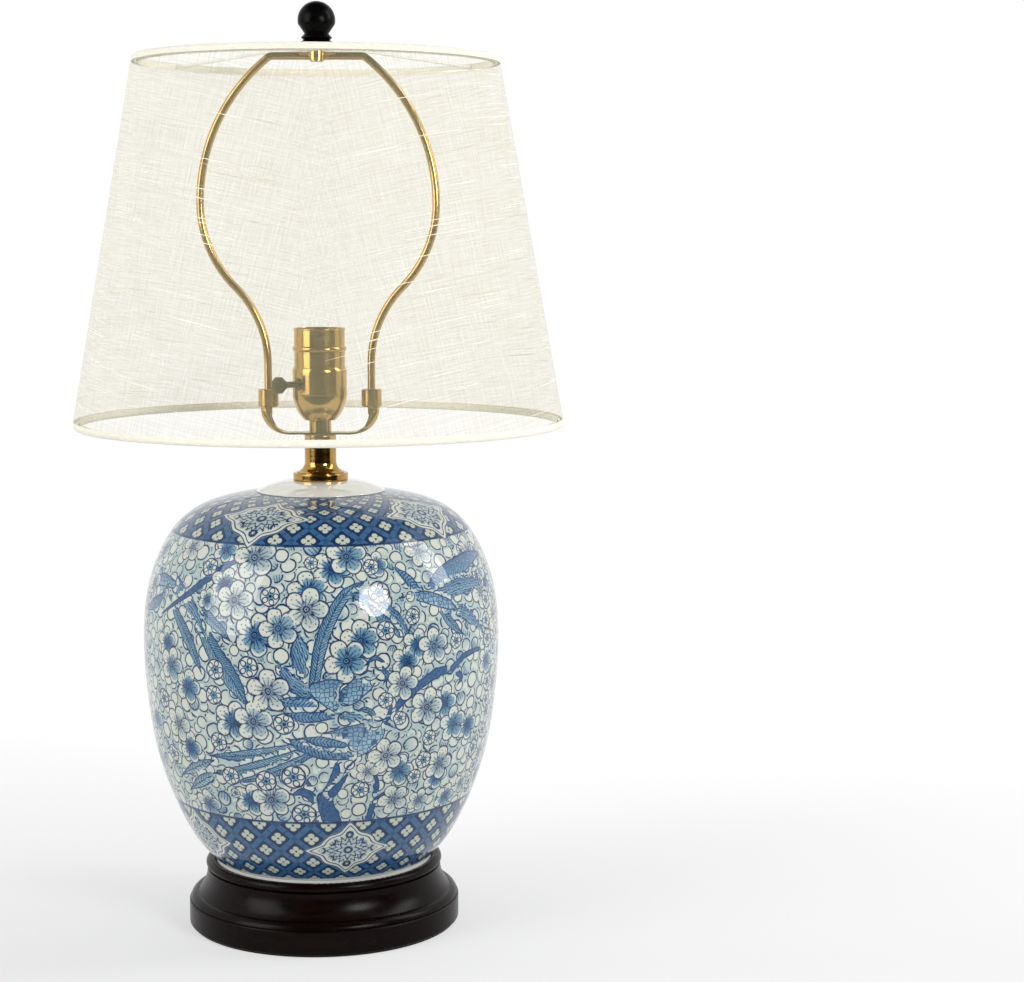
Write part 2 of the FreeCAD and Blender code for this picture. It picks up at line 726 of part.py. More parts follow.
def screw_shell():
    """Lamp thread, drawn as rings of the thread's pitch."""
    low = CORE_TOP + SCREW_SHELL_T
    half = THREAD_PITCH / 2

    def waves(offset):
        steps = [(SCREW_SHELL_R + offset, low)]
        for turn in range(THREAD_TURNS):
            base = low + turn * THREAD_PITCH
            crest = SCREW_SHELL_R + offset
            steps.append(((crest + THREAD_DEPTH, base + half), (crest, base + THREAD_PITCH)))
        return steps

    inner = waves(0)
    outer = waves(SCREW_SHELL_T)
    top = low + THREAD_TURNS * THREAD_PITCH
    climb = []
    for turn in range(THREAD_TURNS, 0, -1):
        lower = inner[turn - 1] if turn == 1 else inner[turn - 1][1]
        climb.append((inner[turn][0], lower))
    return turned([
        (SHELL_FLOOR_R, CORE_TOP),
        (SCREW_SHELL_R + SCREW_SHELL_T, CORE_TOP),
        *outer,
        (SCREW_SHELL_R + SCREW_SHELL_T, top + SHELL_COLLAR),
        (SCREW_SHELL_R, top + SHELL_COLLAR),
        inner[-1][1],
        *climb,
        (SHELL_FLOOR_R, low),
    ])


def centre_contact():
    half = 0.75 * SHELL_FLOOR_R
    t = CONTACT_T
    low = CORE_TOP
    rise = low + CONTACT_RISE
    corners = [(-half, low), (-0.3 * half, low), (0.8 * half, rise), (half, rise - 1), (half, rise - 1 + t),
               (0.8 * half, rise + t), (-0.3 * half - t, low + t), (-half, low + t), (-half, low)]
    strip = Part.Face(Part.makePolygon([V(x, -CONTACT_W / 2, z) for x, z in corners]))
    tab = strip.extrude(V(0, CONTACT_W, 0))
    rivet = rod(1.6, 0.8, V(-0.65 * half, 0, low + t))
    return tab.fuse(rivet).removeSplitter()


def key_shaft():
    return key_rod(KEY_R, KEY_IN, KNOB_FROM + KNOB_GRIP)


def key_knob():
    far = KNOB_FROM + KNOB_L
    half = KNOB_H / 2
    c = KNOB_CHAMFER
    corners = [(KNOB_FROM, half - c), (KNOB_FROM + c, half), (far - c, half), (far, half - c)]
    ring = corners + [(s, -z) for s, z in corners[::-1]]
    ring.append(ring[0])
    paddle = Part.Face(Part.makePolygon([V(s, -KNOB_T / 2, z) for s, z in ring])).extrude(V(0, KNOB_T, 0))
    paddle = paddle.makeFillet(KNOB_ROUND, paddle.Edges)
    paddle.rotate(V(0, 0, 0), UP, math.degrees(math.atan2(key_direction().y, key_direction().x)))
    paddle.translate(V(0, 0, KEY_AXIS_Z))
    collar = key_rod(KNOB_COLLAR_R, KNOB_FROM - KNOB_COLLAR_L, KNOB_FROM + 1)
    hole = key_rod(KEY_R, KNOB_FROM - KNOB_COLLAR_L, KNOB_FROM + KNOB_GRIP)
    return paddle.fuse(collar).cut(hole)


# ---------------------------------------------------------------- shade
def on_slope(depth, along):
    """A point under the shade's outer face, measured down the slope from its top edge."""
    r = SHADE_TOP_R + along * math.sin(SLOPE) - depth * math.cos(SLOPE)
    return (r, SHADE_TOP_Z - along * math.cos(SLOPE) - depth * math.sin(SLOPE))


def slope_band(depth, thick, start, end, angle=360):
    return turned([
        on_slope(depth, start),
        on_slope(depth, end),
        on_slope(depth + thick, end),
        on_slope(depth + thick, start),
    ], angle)


def hem(edge, sign):
    """Linen rolled over a ring of wire: a channel that opens along the slope."""
    outer_r = HEM_W / 2
    inner_r = outer_r - FABRIC_T

    def at(depth, inset):
        return on_slope(depth, edge + sign * inset)

    return turned([
        at(0, HEM_L),
        at(0, outer_r),
        (at(outer_r, 0), at(HEM_W, outer_r)),
        at(HEM_W, HEM_L),
        at(HEM_W - FABRIC_T, HEM_L),
        at(HEM_W - FABRIC_T, outer_r),
        (at(outer_r, outer_r - inner_r), at(FABRIC_T, outer_r)),
        at(FABRIC_T, HEM_L),
    ])


def shade_panel(side):
    half = slope_band(0, FABRIC_T, HEM_L, SLANT - HEM_L, 180)
    half.rotate(V(0, 0, 0), UP, -90 * side)
    return half


def shade_liner():
    inset = HEM_W / 2 + 0.7
    return slope_band(FABRIC_T + GLUE_T, FILM_T, inset, SLANT - inset)


def ring_place(edge, sign):
    """Centre of a ring's wire, inside its hem."""
    return on_slope(FABRIC_T + GLUE_T + FILM_T + RING_R, edge + sign * (HEM_W / 2 + 0.5))


def shade_ring(edge, sign):
    r, z = ring_place(edge, sign)
    return torus(r, RING_R, z)


def spoke(turn, wire_r, end_r, end_z):
    hub_z = WASHER_Z + HUB_WASHER_T / 2
    start = HUB_WASHER_R - SPOKE_LAP
    level = rod(wire_r, SPOKE_FLAT - start, V(start, 0, hub_z), V(1, 0, 0))
    fall = V(end_r - SPOKE_FLAT, 0, end_z - hub_z)
    slope = rod(wire_r, fall.Length, V(SPOKE_FLAT, 0, hub_z), fall)
    knee = Part.makeSphere(wire_r, V(SPOKE_FLAT, 0, hub_z))
    arm = level.fuse([slope, knee])
    arm.rotate(V(0, 0, 0), UP, turn)
    return arm


def spokes(wire_r, shortfall):
    r, z = ring_place(0, 1)
    step = 360 / SPOKES
    return [spoke(SPOKE_TURN + i * step, wire_r, r - shortfall, z) for i in range(SPOKES)]


def shade_spider():
    hub = rod(HUB_WASHER_R, HUB_WASHER_T, V(0, 0, WASHER_Z))
    body = hub.fuse(spokes(SPOKE_R, RING_R + 0.05))
    return body.cut(rod(POST_R + LOOSE, 4 * HUB_WASHER_T, V(0, 0, WASHER_Z - HUB_WASHER_T)))


def shade_hem_top():
    band = hem(0, 1)
    for arm in spokes(SPOKE_R + LOOSE, 0):
        band = band.cut(arm)
    return band


def finial():
    waist = FINIAL_Z + FINIAL_WAIST_Z
    base = FINIAL_Z + FINIAL_BASE_Z
    ball_low = -12
    ball_z = FINIAL_Z + FINIAL_H - FINIAL_BALL_R
    body = turned([
        (0, FINIAL_Z),
        (FINIAL_FOOT_R, FINIAL_Z),
        ((FINIAL_BASE_R - 1.2, FINIAL_Z + 0.35 * FINIAL_BASE_Z), (FINIAL_BASE_R, base)),
        ((FINIAL_BASE_R - 1.6, base + 1.6), (FINIAL_WAIST_R, waist)),
        (FINIAL_BEAD_R - 0.3, FINIAL_Z + FINIAL_BEAD_Z - 0.3),
        ((FINIAL_BEAD_R, FINIAL_Z + FINIAL_BEAD_Z), (FINIAL_BEAD_R - 0.3, FINIAL_Z + FINIAL_BEAD_Z + 0.3)),
        (FINIAL_NECK_R, FINIAL_Z + FINIAL_NECK_Z),
        *swing((0, ball_z), FINIAL_BALL_R, ball_low, 90),
    ])
    hole = rod(POST_R + RUN, POST_L + 1, V(0, 0, FINIAL_Z))
    return body.cut(hole)


# ---------------------------------------------------------------- all the pieces
def build():
    return {
        "felt_pad": felt_pad(),
        "base_stand": base_stand(),
        "cord_bushing": cord_bushing(),
        "base_washer": base_washer(),
        "base_nut": base_nut(),
        "lamp_pipe": lamp_pipe(),
        "jar_body": jar_body(),
        "mouth_cap": mouth_cap(),
        "brass_neck": brass_neck(),
        "harp_saddle": harp_saddle(),
        "ferrule_right": ferrule(1),
        "ferrule_left": ferrule(-1),
        "harp": harp(),
        "harp_stud": harp_stud(),
        "socket_cup": drill_hub(socket_cup()),
        "hub_screw": hub_screw(),
        "socket_shell": socket_shell(),
        "insulating_liner": insulating_liner(),
        "socket_interior": socket_interior(),
        "terminal_screws": terminal_screws(),
        "screw_shell": screw_shell(),
        "centre_contact": centre_contact(),
        "key_shaft": key_shaft(),
        "key_knob": key_knob(),
        "shade_top_ring": shade_ring(0, 1),
        "shade_spider": shade_spider(),
        "shade_bottom_ring": shade_ring(SLANT, -1),
        "shade_liner": shade_liner(),
        "shade_panel_right": shade_panel(1),
        "shade_panel_left": shade_panel(-1),
        "shade_hem_top": shade_hem_top(),
        "shade_hem_bottom": hem(SLANT, -1),
        "finial": finial(),
    }


os.makedirs("parts", exist_ok=True)
for name, shape in build().items():
    shape.exportStep("parts/" + name + ".step")
    box = shape.BoundBox
    print(f"{name:18s} valid {shape.isValid()} solids {len(shape.Solids)} volume {shape.Volume:12.1f}"
          f"  z {box.ZMin:7.2f} to {box.ZMax:7.2f}  x {box.XMin:8.2f} to {box.XMax:8.2f}")
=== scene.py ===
"""Ginger jar table lamp: finishes, painted porcelain, linen shade, camera and studio.

Metres, +Z up, the lamp's axis on the Z axis and its front towards -Y.
"""
import logging
import math
from dataclasses import dataclass
from enum import Enum
from functools import partial
from typing import Callable, Iterable, Sequence

import bpy
import numpy as np
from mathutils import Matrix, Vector


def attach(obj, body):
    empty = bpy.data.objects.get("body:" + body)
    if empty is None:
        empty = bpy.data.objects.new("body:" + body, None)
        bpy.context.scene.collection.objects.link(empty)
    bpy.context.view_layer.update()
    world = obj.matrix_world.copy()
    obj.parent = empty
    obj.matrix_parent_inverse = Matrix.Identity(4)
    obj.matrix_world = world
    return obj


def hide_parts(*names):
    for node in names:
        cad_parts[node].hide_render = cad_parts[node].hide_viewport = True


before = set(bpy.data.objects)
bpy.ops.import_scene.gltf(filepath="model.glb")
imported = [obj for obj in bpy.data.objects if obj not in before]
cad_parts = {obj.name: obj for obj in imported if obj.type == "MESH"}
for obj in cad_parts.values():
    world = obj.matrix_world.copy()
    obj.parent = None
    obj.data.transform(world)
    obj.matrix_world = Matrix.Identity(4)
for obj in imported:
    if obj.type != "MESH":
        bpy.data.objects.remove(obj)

log = logging.getLogger("ginger_jar_lamp")
MM = 0.001
Put = Callable[..., bpy.types.Node]


# ---------------------------------------------------------------- helpers
def linear(hex_colour: str) -> tuple[float, float, float, float]:
    """Turn an sRGB hex colour into a linear RGBA tuple.

    Args:
        hex_colour: Six hexadecimal digits, with or without a leading hash.

    Returns:
        Linear red, green, blue and an alpha of 1.
    """
    digits = hex_colour.lstrip("#")
    parts = [int(digits[i:i + 2], 16) / 255 for i in (0, 2, 4)]
    return (*(c / 12.92 if c <= 0.04045 else ((c + 0.055) / 1.055) ** 2.4 for c in parts), 1.0)


def plug(socket: bpy.types.NodeSocket, value: object) -> None:
    """Link or set one input.

    Args:
        socket: The input.
        value: A node (its first output in use), a socket, an sRGB hex colour or a plain value.
    """
    if isinstance(value, bpy.types.Node):
        value = next(output for output in value.outputs if output.enabled)
    if isinstance(value, bpy.types.NodeSocket):
        socket.id_data.links.new(value, socket)
    else:
        socket.default_value = linear(value) if isinstance(value, str) else value


def add(tree: bpy.types.NodeTree, kind: str, *inputs: object, **settings: object) -> bpy.types.Node:
    """Add one node with its settings and links.

    Args:
        tree: The node tree that receives the node.
        kind: The node's type without its "ShaderNode" prefix, then its operation or data type
            after a space. Capitals alone name an operation of Math.
        inputs: What plug() puts in the sockets in use, in their order. None leaves a socket as
            it is, and a (name, value) pair names its own.
        settings: Properties of the node itself.

    Returns:
        The new node.
    """
    kind, _, mode = (f"Math {kind}" if kind.isupper() else kind).partition(" ")
    node = tree.nodes.new(kind if "Node" in kind else "ShaderNode" + kind)
    if mode:
        setattr(node, "operation" if hasattr(node, "operation") else "data_type", mode)
    for name, value in settings.items():
        setattr(node, name, value)
    sockets = [socket for socket in node.inputs if socket.enabled]
    for place, value in enumerate(inputs):
        if isinstance(value, tuple) and len(value) == 2:
            plug(node.inputs[value[0]], value[1])
        elif value is not None:
            plug(sockets[place], value)
    return node


def blank_material(name: str) -> tuple[bpy.types.Material, Put, bpy.types.Node]:
    """Make a material that holds one Principled shader.

    Args:
        name: The material's name.

    Returns:
        The material, add() bound to its tree, and the shader.
    """
    made = bpy.data.materials.new(name)
    made.use_nodes = True
    made.node_tree.nodes.clear()
    put = partial(add, made.node_tree)
    shader = put("BsdfPrincipled")
    put("OutputMaterial", shader)
    return made, put, shader


def fill(shader: bpy.types.Node, **values: object) -> None:
    """Set or link the shader's own sockets.

    Args:
        shader: The Principled shader.
        values: Socket names with underscores for spaces, and what plug() puts in each.
    """
    for name, value in values.items():
        plug(shader.inputs[name.replace("_", " ")], value)


def new_piece(name: str, mesh: bpy.types.Mesh, *materials: bpy.types.Material) -> bpy.types.Object:
    """Put a mesh in the scene as an object at the origin.

    Args:
        name: The object's name.
        mesh: Its mesh, already in the row frame.
        materials: Finishes to add to the mesh's own.

    Returns:
        The object.
    """
    mesh.name = name
    for material in materials:
        mesh.materials.append(material)
    piece = bpy.data.objects.new(name, mesh)
    bpy.context.scene.collection.objects.link(piece)
    return piece


def finish_nodes(material: bpy.types.Material, nodes: Iterable[str]) -> None:
    """Give CAD nodes a finish.

    Args:
        material: The finish.
        nodes: The CAD nodes' names.
    """
    for name in nodes:
        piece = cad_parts[name]
        for place in piece.material_slots:
            place.material = material
        log.info("%s: %s", name, material.name)


# ---------------------------------------------------------------- finishes
@dataclass(frozen=True)
class PolishedMetal:
    """Spun or drawn metal, buffed: clear reflections over faint polishing marks round the axis."""

    name: str
    colour: str
    worn: str
    roughness: float
    marks_mm: float = 0.9

    def build(self) -> bpy.types.Material:
        """Make the material.

        Returns:
            A metal whose colour deepens in patches and whose gloss varies along its marks.
        """
        material, put, shader = blank_material(self.name)
        place = put("TexCoord").outputs["Object"]
        lay = put("Mapping", place, ("Scale", (0.12, 0.12, 1.0)))
        marks = put("TexNoise", lay, 1 / (self.marks_mm * MM), 4.0)
        patches = put("TexNoise", place, 55.0, 3.0)
        share = put("MapRange", patches, 0.42, 0.72, 0.0, 0.55)
        gloss = put("MapRange", marks, 0.3, 0.7, self.roughness * 0.7, self.roughness * 1.4)
        fill(shader, Metallic=1.0, Base_Color=put("Mix RGBA", share, self.colour, self.worn), Roughness=gloss,
             Normal=put("Bump", 0.03, 0.02 * MM, None, marks))
        return material


@dataclass(frozen=True)
class Lacquer:
    """Turned hardwood under dark stain and clear lacquer: near black, with a soft sheen."""

    name: str = "lacquered_hardwood"
    stain: str = "#0a0403"
    grain: str = "#160906"
    roughness: float = 0.27

    def build(self) -> bpy.types.Material:
        """Make the material.

        Returns:
            Stained wood with long faint grain, fine pores and turning marks.
        """
        material, put, shader = blank_material(self.name)
        place = put("TexCoord").outputs["Object"]
        along = put("Mapping", place, ("Scale", (0.14, 1.0, 1.0)))
        grain = put("TexNoise", along, 260.0, 6.0, ("Distortion", 0.6))
        pores = put("TexNoise", along, 1500.0, 2.0)
        share = put("MapRange", grain, 0.45, 0.75, 0.0, 0.8)
        gloss = put("MapRange", grain, 0.3, 0.8, self.roughness * 0.85, self.roughness * 1.25)
        rings = put("TexNoise", put("Mapping", place, ("Scale", (0.02, 0.02, 1.0))), 700.0, 3.0)
        relief = put("MULTIPLY_ADD", rings, 1.4, pores)
        fill(shader, IOR=1.5, Specular_IOR_Level=0.08, Base_Color=put("Mix RGBA", share, self.stain, self.grain),
             Roughness=gloss, Normal=put("Bump", 0.1, 0.1 * MM, None, relief))
        return material


@dataclass(frozen=True)
class PlainFinish:
    """A moulded, felted, pressed or glazed surface of one colour with fine mottling."""

    name: str
    colour: str
    mottle: str
    roughness: float
    grain_mm: float
    relief_mm: float
    coat: float = 0.0
    specular: float = 0.5

    def build(self) -> bpy.types.Material:
        """Make the material.

        Returns:
            A material whose colour, gloss and relief follow one fine noise.
        """
        material, put, shader = blank_material(self.name)
        grain = put("TexNoise", put("TexCoord").outputs["Object"], 1 / (self.grain_mm * MM), 3.0)
        share = put("MapRange", grain, 0.35, 0.7, 0.0, 1.0)
        gloss = put("MapRange", grain, 0.3, 0.7, self.roughness * 0.85, self.roughness * 1.15)
        fill(shader, Coat_Weight=self.coat, Coat_Roughness=0.05, Specular_IOR_Level=self.specular, Roughness=gloss,
             Base_Color=put("Mix RGBA", share, self.colour, self.mottle),
             Normal=put("Bump", 0.3, self.relief_mm * MM, None, grain))
        return material


@dataclass(frozen=True)
class ClearFilm:
    """Stiff clear backing film: almost invisible, with a slight gloss."""

    name: str = "styrene_film"
    colour: str = "#f6f4ee"
    cover: float = 0.03

    def build(self) -> bpy.types.Material:
        """Make the material.

        Returns:
            A nearly clear film.
        """
        material, _, shader = blank_material(self.name)
        fill(shader, Base_Color=self.colour, Roughness=0.35, Alpha=self.cover)
        return material


@dataclass(frozen=True)
class Linen:
    """Natural linen, loosely woven: the eye gets a warm off-white with a fine uneven cross weave.

    The gaps between the threads let what is behind show through, alike from every side. The cover
    is the share that the threads close. Where the weft runs thick the cloth is drawn paler and more
    open, a painted highlight on the raised slubs.
    """

    name: str
    thread: str = "#c8c096"
    pale: str = "#e0daae"
    warp_mm: float = 1.3
    weft_mm: float = 1.2
    cover: float = 0.19

    def build(self) -> bpy.types.Material:
        """Make the material, on the cloth's flat cut in its UV map (1 unit is a metre).

        Threads are drawn about three times as coarse as real linen's 0.4 mm, which would blur away.

        Returns:
            Woven cloth.
        """
        material, put, shader = blank_material(self.name)
        cut = put("UVMap", uv_map="flat_cut")
        upright, level, long = (put("Mapping", cut, ("Scale", (x, y, 1.0)))
                                for x, y in ((1.0, 0.05), (0.035, 1.0), (0.045, 1.0)))
        warp = put("TexNoise", upright, 1 / (self.warp_mm * MM), 1.0)
        weft = put("TexNoise", level, 1 / (self.weft_mm * MM), 2.0)
        weave = put("ADD", put("MULTIPLY", warp, 0.8), weft)
        weave = put("MULTIPLY_ADD", put("TexNoise", cut, 40.0, 3.0), 0.12, weave)
        # Slubs are real thick places in the weft; drawing them paler and more see-through so they read brighter is a
        # painted highlight on the raised threads.
        thick = put("MapRange", put("TexNoise", long, 520.0, 0.0), 0.66, 0.76, 0.0, 0.8)
        share = put("MAXIMUM", put("MapRange", weave, 0.8, 1.15, 0.0, 1.0), thick)
        cover = put("MapRange", weave, 0.8, 1.15, self.cover * 1.3, self.cover * 0.7)
        fill(shader, Roughness=0.9, Sheen_Weight=0.1, Sheen_Roughness=0.5, Specular_IOR_Level=0.1,
             Base_Color=put("Mix RGBA", share, self.thread, self.pale),
             Alpha=put("MULTIPLY_ADD", thick, -0.4 * self.cover, cover),
             Normal=put("Bump", 0.35, 0.12 * MM, None, weave))
        return material


@dataclass(frozen=True)
class CloseThread:
    """Linen thread lying close: the hems rolled over the rings, and the thick soft slubs of the weft."""

    name: str
    colour: str
    shade: str
    roughness: float
    specular: float
    per_metre: float
    squash: float = 1.0
    sheen: float = 0.0
    relief: float = 0.0

    def build(self) -> bpy.types.Material:
        """Make the material.

        Returns:
            Close thread with a fine twist, no darker than the cloth beside it.
        """
        material, put, shader = blank_material(self.name)
        place = put("Mapping", put("TexCoord").outputs["Object"], ("Scale", (self.squash, self.squash, 1.0)))
        twist = put("TexNoise", place, self.per_metre, 2.0)
        share = put("MapRange", twist, 0.4, 0.65, 0.0, 1.0)
        fill(shader, Roughness=self.roughness, Sheen_Weight=self.sheen, Specular_IOR_Level=self.specular,
             Base_Color=put("Mix RGBA", share, self.shade, self.colour))
        if self.relief:
            fill(shader, Normal=put("Bump", self.relief, 0.1 * MM, None, twist))
        return material


# ---------------------------------------------------------------- sub-assemblies
@dataclass
class Hardware:
    """The CAD pieces whose shape is right as it is, dressed in their finishes."""

    table: tuple[tuple[PolishedMetal | PlainFinish | Lacquer, str, tuple[str, ...]], ...] = (
        (PolishedMetal("polished_brass", "#bb9450", "#96733c", 0.15), "polished_brass",
         ("brass_neck", "harp_saddle", "harp", "harp_stud", "ferrule_left", "ferrule_right", "socket_cup",
          "socket_shell")),
        (PolishedMetal("zinc_plated_steel", "#c9ccd0", "#aab0b8", 0.28), "zinc_steel",
         ("base_washer", "base_nut", "lamp_pipe", "hub_screw", "terminal_screws")),
        (PolishedMetal("drawn_aluminium", "#d6d7d6", "#bfc1c2", 0.25), "aluminium_shell", ("screw_shell",)),
        (PolishedMetal("sprung_brass", "#c9a560", "#a98243", 0.3), "contact_brass", ("centre_contact",)),
        (Lacquer(), "stand_wood", ("base_stand",)),
        (PlainFinish("wool_felt", "#171412", "#262220", 0.95, 0.5, 0.3), "felt", ("felt_pad",)),
        (PlainFinish("glazed_white_porcelain", "#e4e4de", "#dbdbd3", 0.12, 6.0, 0.02, coat=1.0), "white_porcelain",
         ("mouth_cap",)),
        (PlainFinish("black_phenolic", "#050505", "#080707", 0.35, 0.8, 0.02, specular=0.06), "key_black",
         ("key_shaft", "key_knob")),
        (PlainFinish("black_lacquered_wood", "#040404", "#070605", 0.3, 1.6, 0.02, specular=0.06), "finial_black",
         ("finial",)),
        (PlainFinish("moulded_phenolic", "#241c18", "#2f2620", 0.45, 0.7, 0.03), "lamp_core", ("socket_interior",)),
        (PlainFinish("vulcanised_fibre", "#6d5a46", "#7d6a54", 0.7, 0.6, 0.05), "fibre", ("insulating_liner",)),
        (PlainFinish("white_painted_wire", "#f4f3ef", "#eceae4", 0.4, 1.2, 0.03), "frame_wire",
         ("shade_top_ring", "shade_bottom_ring", "shade_spider")),
        (PlainFinish("moulded_nylon", "#15120f", "#201b17", 0.5, 0.6, 0.03), "bushing_plastic", ("cord_bushing",)),
    )

    def dress_all(self) -> None:
        """Put every finish on its CAD nodes."""
        for finish, slot, nodes in self.table:
            finish_nodes(finish.build(), nodes)


class Side(Enum):
    """Which half of the shade a panel covers: its turn from +X in radians, and its slubs' seed."""

    RIGHT = (0.0, 6)
    LEFT = (math.pi, 4)


@dataclass
class LampShade:
    """The empire shade's wall: linen laminated on clear film, in two flat-cut panels.

    They meet at the front and the back. Linen is the outer face and film the inner one.
    """

    top_radius: float = 121.3
    bottom_radius: float = 165.0
    height: float = 245.8
    top_z: float = 587.35
    wall: float = 1.25
    hem: float = 4.8
    columns: int = 96
    rows: int = 40
    slubs: int = 190
    slub_length: float = 48.0
    slub_radius: float = 0.28
    slub_margin: float = 3.0
    slub_lengths: tuple[float, float] = (0.35, 1.3)
    slub_widths: tuple[float, float] = (0.55, 1.15)
    slub_flatness: float = 0.3
    slub_tip: float = 0.15
    linen: Linen = Linen("natural_linen")
    tape: CloseThread = CloseThread("rolled_linen_hem", "#f4f1e4", "#ebe6d6", 0.9, 0.1, 1200.0,
                                    squash=0.2, sheen=0.1, relief=0.25)
    yarn: CloseThread = CloseThread("linen_slub_yarn", "#fffdf6", "#faf6ea", 0.95, 0.05, 1500.0)
    film: ClearFilm = ClearFilm()

    def slope(self) -> float:
        """Angle of the wall from upright, in radians."""
        return math.atan2(self.bottom_radius - self.top_radius, self.height)

    def slant(self) -> float:
        """Length of the wall down its slope, in millimetres."""
        return math.hypot(self.bottom_radius - self.top_radius, self.height)

    def on_wall(self, turn: float, along: float, depth: float) -> tuple[float, float, float]:
        """A point of the wall.

        Args:
            turn: Angle about the lamp's axis, from +X, in radians.
            along: Distance down the slope from the top edge, in millimetres.
            depth: Distance under the outer face, in millimetres.

        Returns:
            The point in metres.
        """
        lean = self.slope()
        radius = self.top_radius + along * math.sin(lean) - depth * math.cos(lean)
        height = self.top_z - along * math.cos(lean) - depth * math.sin(lean)
        return (radius * math.cos(turn) * MM, radius * math.sin(turn) * MM, height * MM)

    def panel_faces(self) -> list[tuple[int, int, int, int]]:
        """Faces of a closed panel: outer and inner ones by turns, then the rim.

        Returns:
            Corner numbers, the inner layer's points after the outer one's.
        """
        count, rows = self.columns, self.rows
        wide = count + 1
        layer = wide * (rows + 1)
        faces = []
        for i in range(rows):
            for j in range(count):
                a = i * wide + j
                faces.append((a, a + wide, a + wide + 1, a + 1))
                faces.append((layer + a, layer + a + 1, layer + a + wide + 1, layer + a + wide))
        rim = [*range(0, rows * wide, wide), *range(rows * wide, layer - 1), *range(layer - 1, count, -wide),
               *range(count, 0, -1)]
        return faces + [(a, layer + a, layer + b, b) for a, b in zip(rim, rim[1:] + rim[:1])]

    def panel(self, side: Side, linen: bpy.types.Material, film: bpy.types.Material) -> bpy.types.Object:
        """Make one panel as a thin closed sheet with its flat cut as a UV map.

        Args:
            side: The half that it covers.
            linen: The outer face's finish.
            film: The inner face's finish.

        Returns:
            The panel.
        """
        name = "linen_" + side.name.lower()
        lean = self.slope()
        apex = self.top_radius / math.sin(lean)
        start, stop = self.hem, self.slant() - self.hem
        points, flat = [], []
        for depth in (0.0, self.wall):
            for i in range(self.rows + 1):
                along = start + (stop - start) * i / self.rows
                for j in range(self.columns + 1):
                    half_turn = (j / self.columns - 0.5) * math.pi
                    points.append(self.on_wall(half_turn + side.value[0], along, depth))
                    fan = half_turn * math.sin(lean)
                    flat.append(((apex + along) * math.sin(fan) * MM, -(apex + along) * math.cos(fan) * MM))
        mesh = bpy.data.meshes.new(name)
        mesh.from_pydata(points, [], self.panel_faces())
        cut = mesh.uv_layers.new(name="flat_cut")
        cut.data.foreach_set("uv", np.array([flat[loop.vertex_index] for loop in mesh.loops]).ravel())
        mesh.polygons.foreach_set("use_smooth", [True] * len(mesh.polygons))
        mesh.set_sharp_from_angle(angle=math.radians(40))
        piece = new_piece(name, mesh, linen, film)
        layers = np.zeros(len(mesh.polygons), dtype=np.int32)
        layers[1:2 * self.rows * self.columns:2] = 1
        mesh.polygons.foreach_set("material_index", layers)
        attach(piece, "lampshade")
        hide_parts("shade_panel_" + side.name.lower(), "shade_liner")
        slubs = self.slub_yarns(side)
        fan = math.pi / 2 * math.sin(lean)
        return piece

    def slub_sizes(self, side: Side) -> dict[str, float]:
        """The slub tree's named inputs: whole numbers are counts, others metres."""
        return {"Count": self.slubs, "Seed": side.value[1], "Length": self.slub_length * MM,
                "Radius": self.slub_radius * MM}

    def slub_tree(self, side: Side) -> bpy.types.NodeTree:
        """Geometry nodes that strew tapered yarns over the flat cut and bend them onto the wall.

        Args:
            side: The half that the panel covers.

        Returns:
            The tree, with its sizes as named inputs.
        """
        lean = self.slope()
        apex = self.top_radius / math.sin(lean) * MM
        margin = (self.hem + self.slub_margin) * MM
        near, far = apex + margin, apex + self.slant() * MM - margin
        limit = math.pi / 2 * math.sin(lean)
        tree = bpy.data.node_groups.new("slub_yarns_" + side.name.lower(), "GeometryNodeTree")
        for label, value in self.slub_sizes(side).items():
            kind = "NodeSocketInt" if isinstance(value, int) else "NodeSocketFloat"
            tree.interface.new_socket(name=label, in_out="INPUT", socket_type=kind).default_value = value
        tree.interface.new_socket(name="Geometry", in_out="OUTPUT", socket_type="NodeSocketGeometry")
        put = partial(add, tree)
        given = put("NodeGroupInput").outputs
        spread = put("FunctionNodeRandomValue FLOAT_VECTOR", (-far * math.sin(limit), -far, 0.0),
                     (far * math.sin(limit), -near * math.cos(limit), 0.0), None, given["Seed"])
        points = put("GeometryNodePoints", given["Count"], spread)
        x, y, _ = put("SeparateXYZ", put("GeometryNodeInputPosition")).outputs
        across = put("ADD", put("ABSOLUTE", x), put("MULTIPLY", given["Length"], 0.7))
        down = put("MULTIPLY", y, -1.0)
        reach = put("SQRT", put("ADD", put("POWER", across, 2.0), put("POWER", down, 2.0)))
        outside = put("MAXIMUM", put("GREATER_THAN", reach, far), put("LESS_THAN", down, near))
        outside = put("MAXIMUM", outside, put("GREATER_THAN", put("ARCTAN2", across, down), limit - 0.004))
        kept = put("GeometryNodeDeleteGeometry", points, outside)
        line = put("GeometryNodeCurvePrimitiveLine", (-0.5, 0.0, 0.0), (0.5, 0.0, 0.0))
        line = put("GeometryNodeResampleCurve", line, None, 9)
        swell = put("SINE", put("MULTIPLY", put("GeometryNodeSplineParameter"), math.pi))
        swell = put("MULTIPLY_ADD", swell, 1 - self.slub_tip, self.slub_tip)
        line = put("GeometryNodeSetCurveRadius", line, None, swell)
        yarn = put("GeometryNodeCurveToMesh", line, put("GeometryNodeCurvePrimitiveCircle", 6, 1.0), swell, True)
        long = put("MULTIPLY", put("FunctionNodeRandomValue FLOAT", *self.slub_lengths, None, 9), given["Length"])
        thick = put("MULTIPLY", put("FunctionNodeRandomValue FLOAT", *self.slub_widths, None, 21), given["Radius"])
        size = put("CombineXYZ", long, thick, put("MULTIPLY", thick, self.slub_flatness))
        grown = put("GeometryNodeInstanceOnPoints", kept, ("Instance", yarn), ("Scale", size))
        real = put("GeometryNodeRealizeInstances", grown)
        x, y, z = put("SeparateXYZ", put("GeometryNodeInputPosition")).outputs
        down = put("MULTIPLY", y, -1.0)
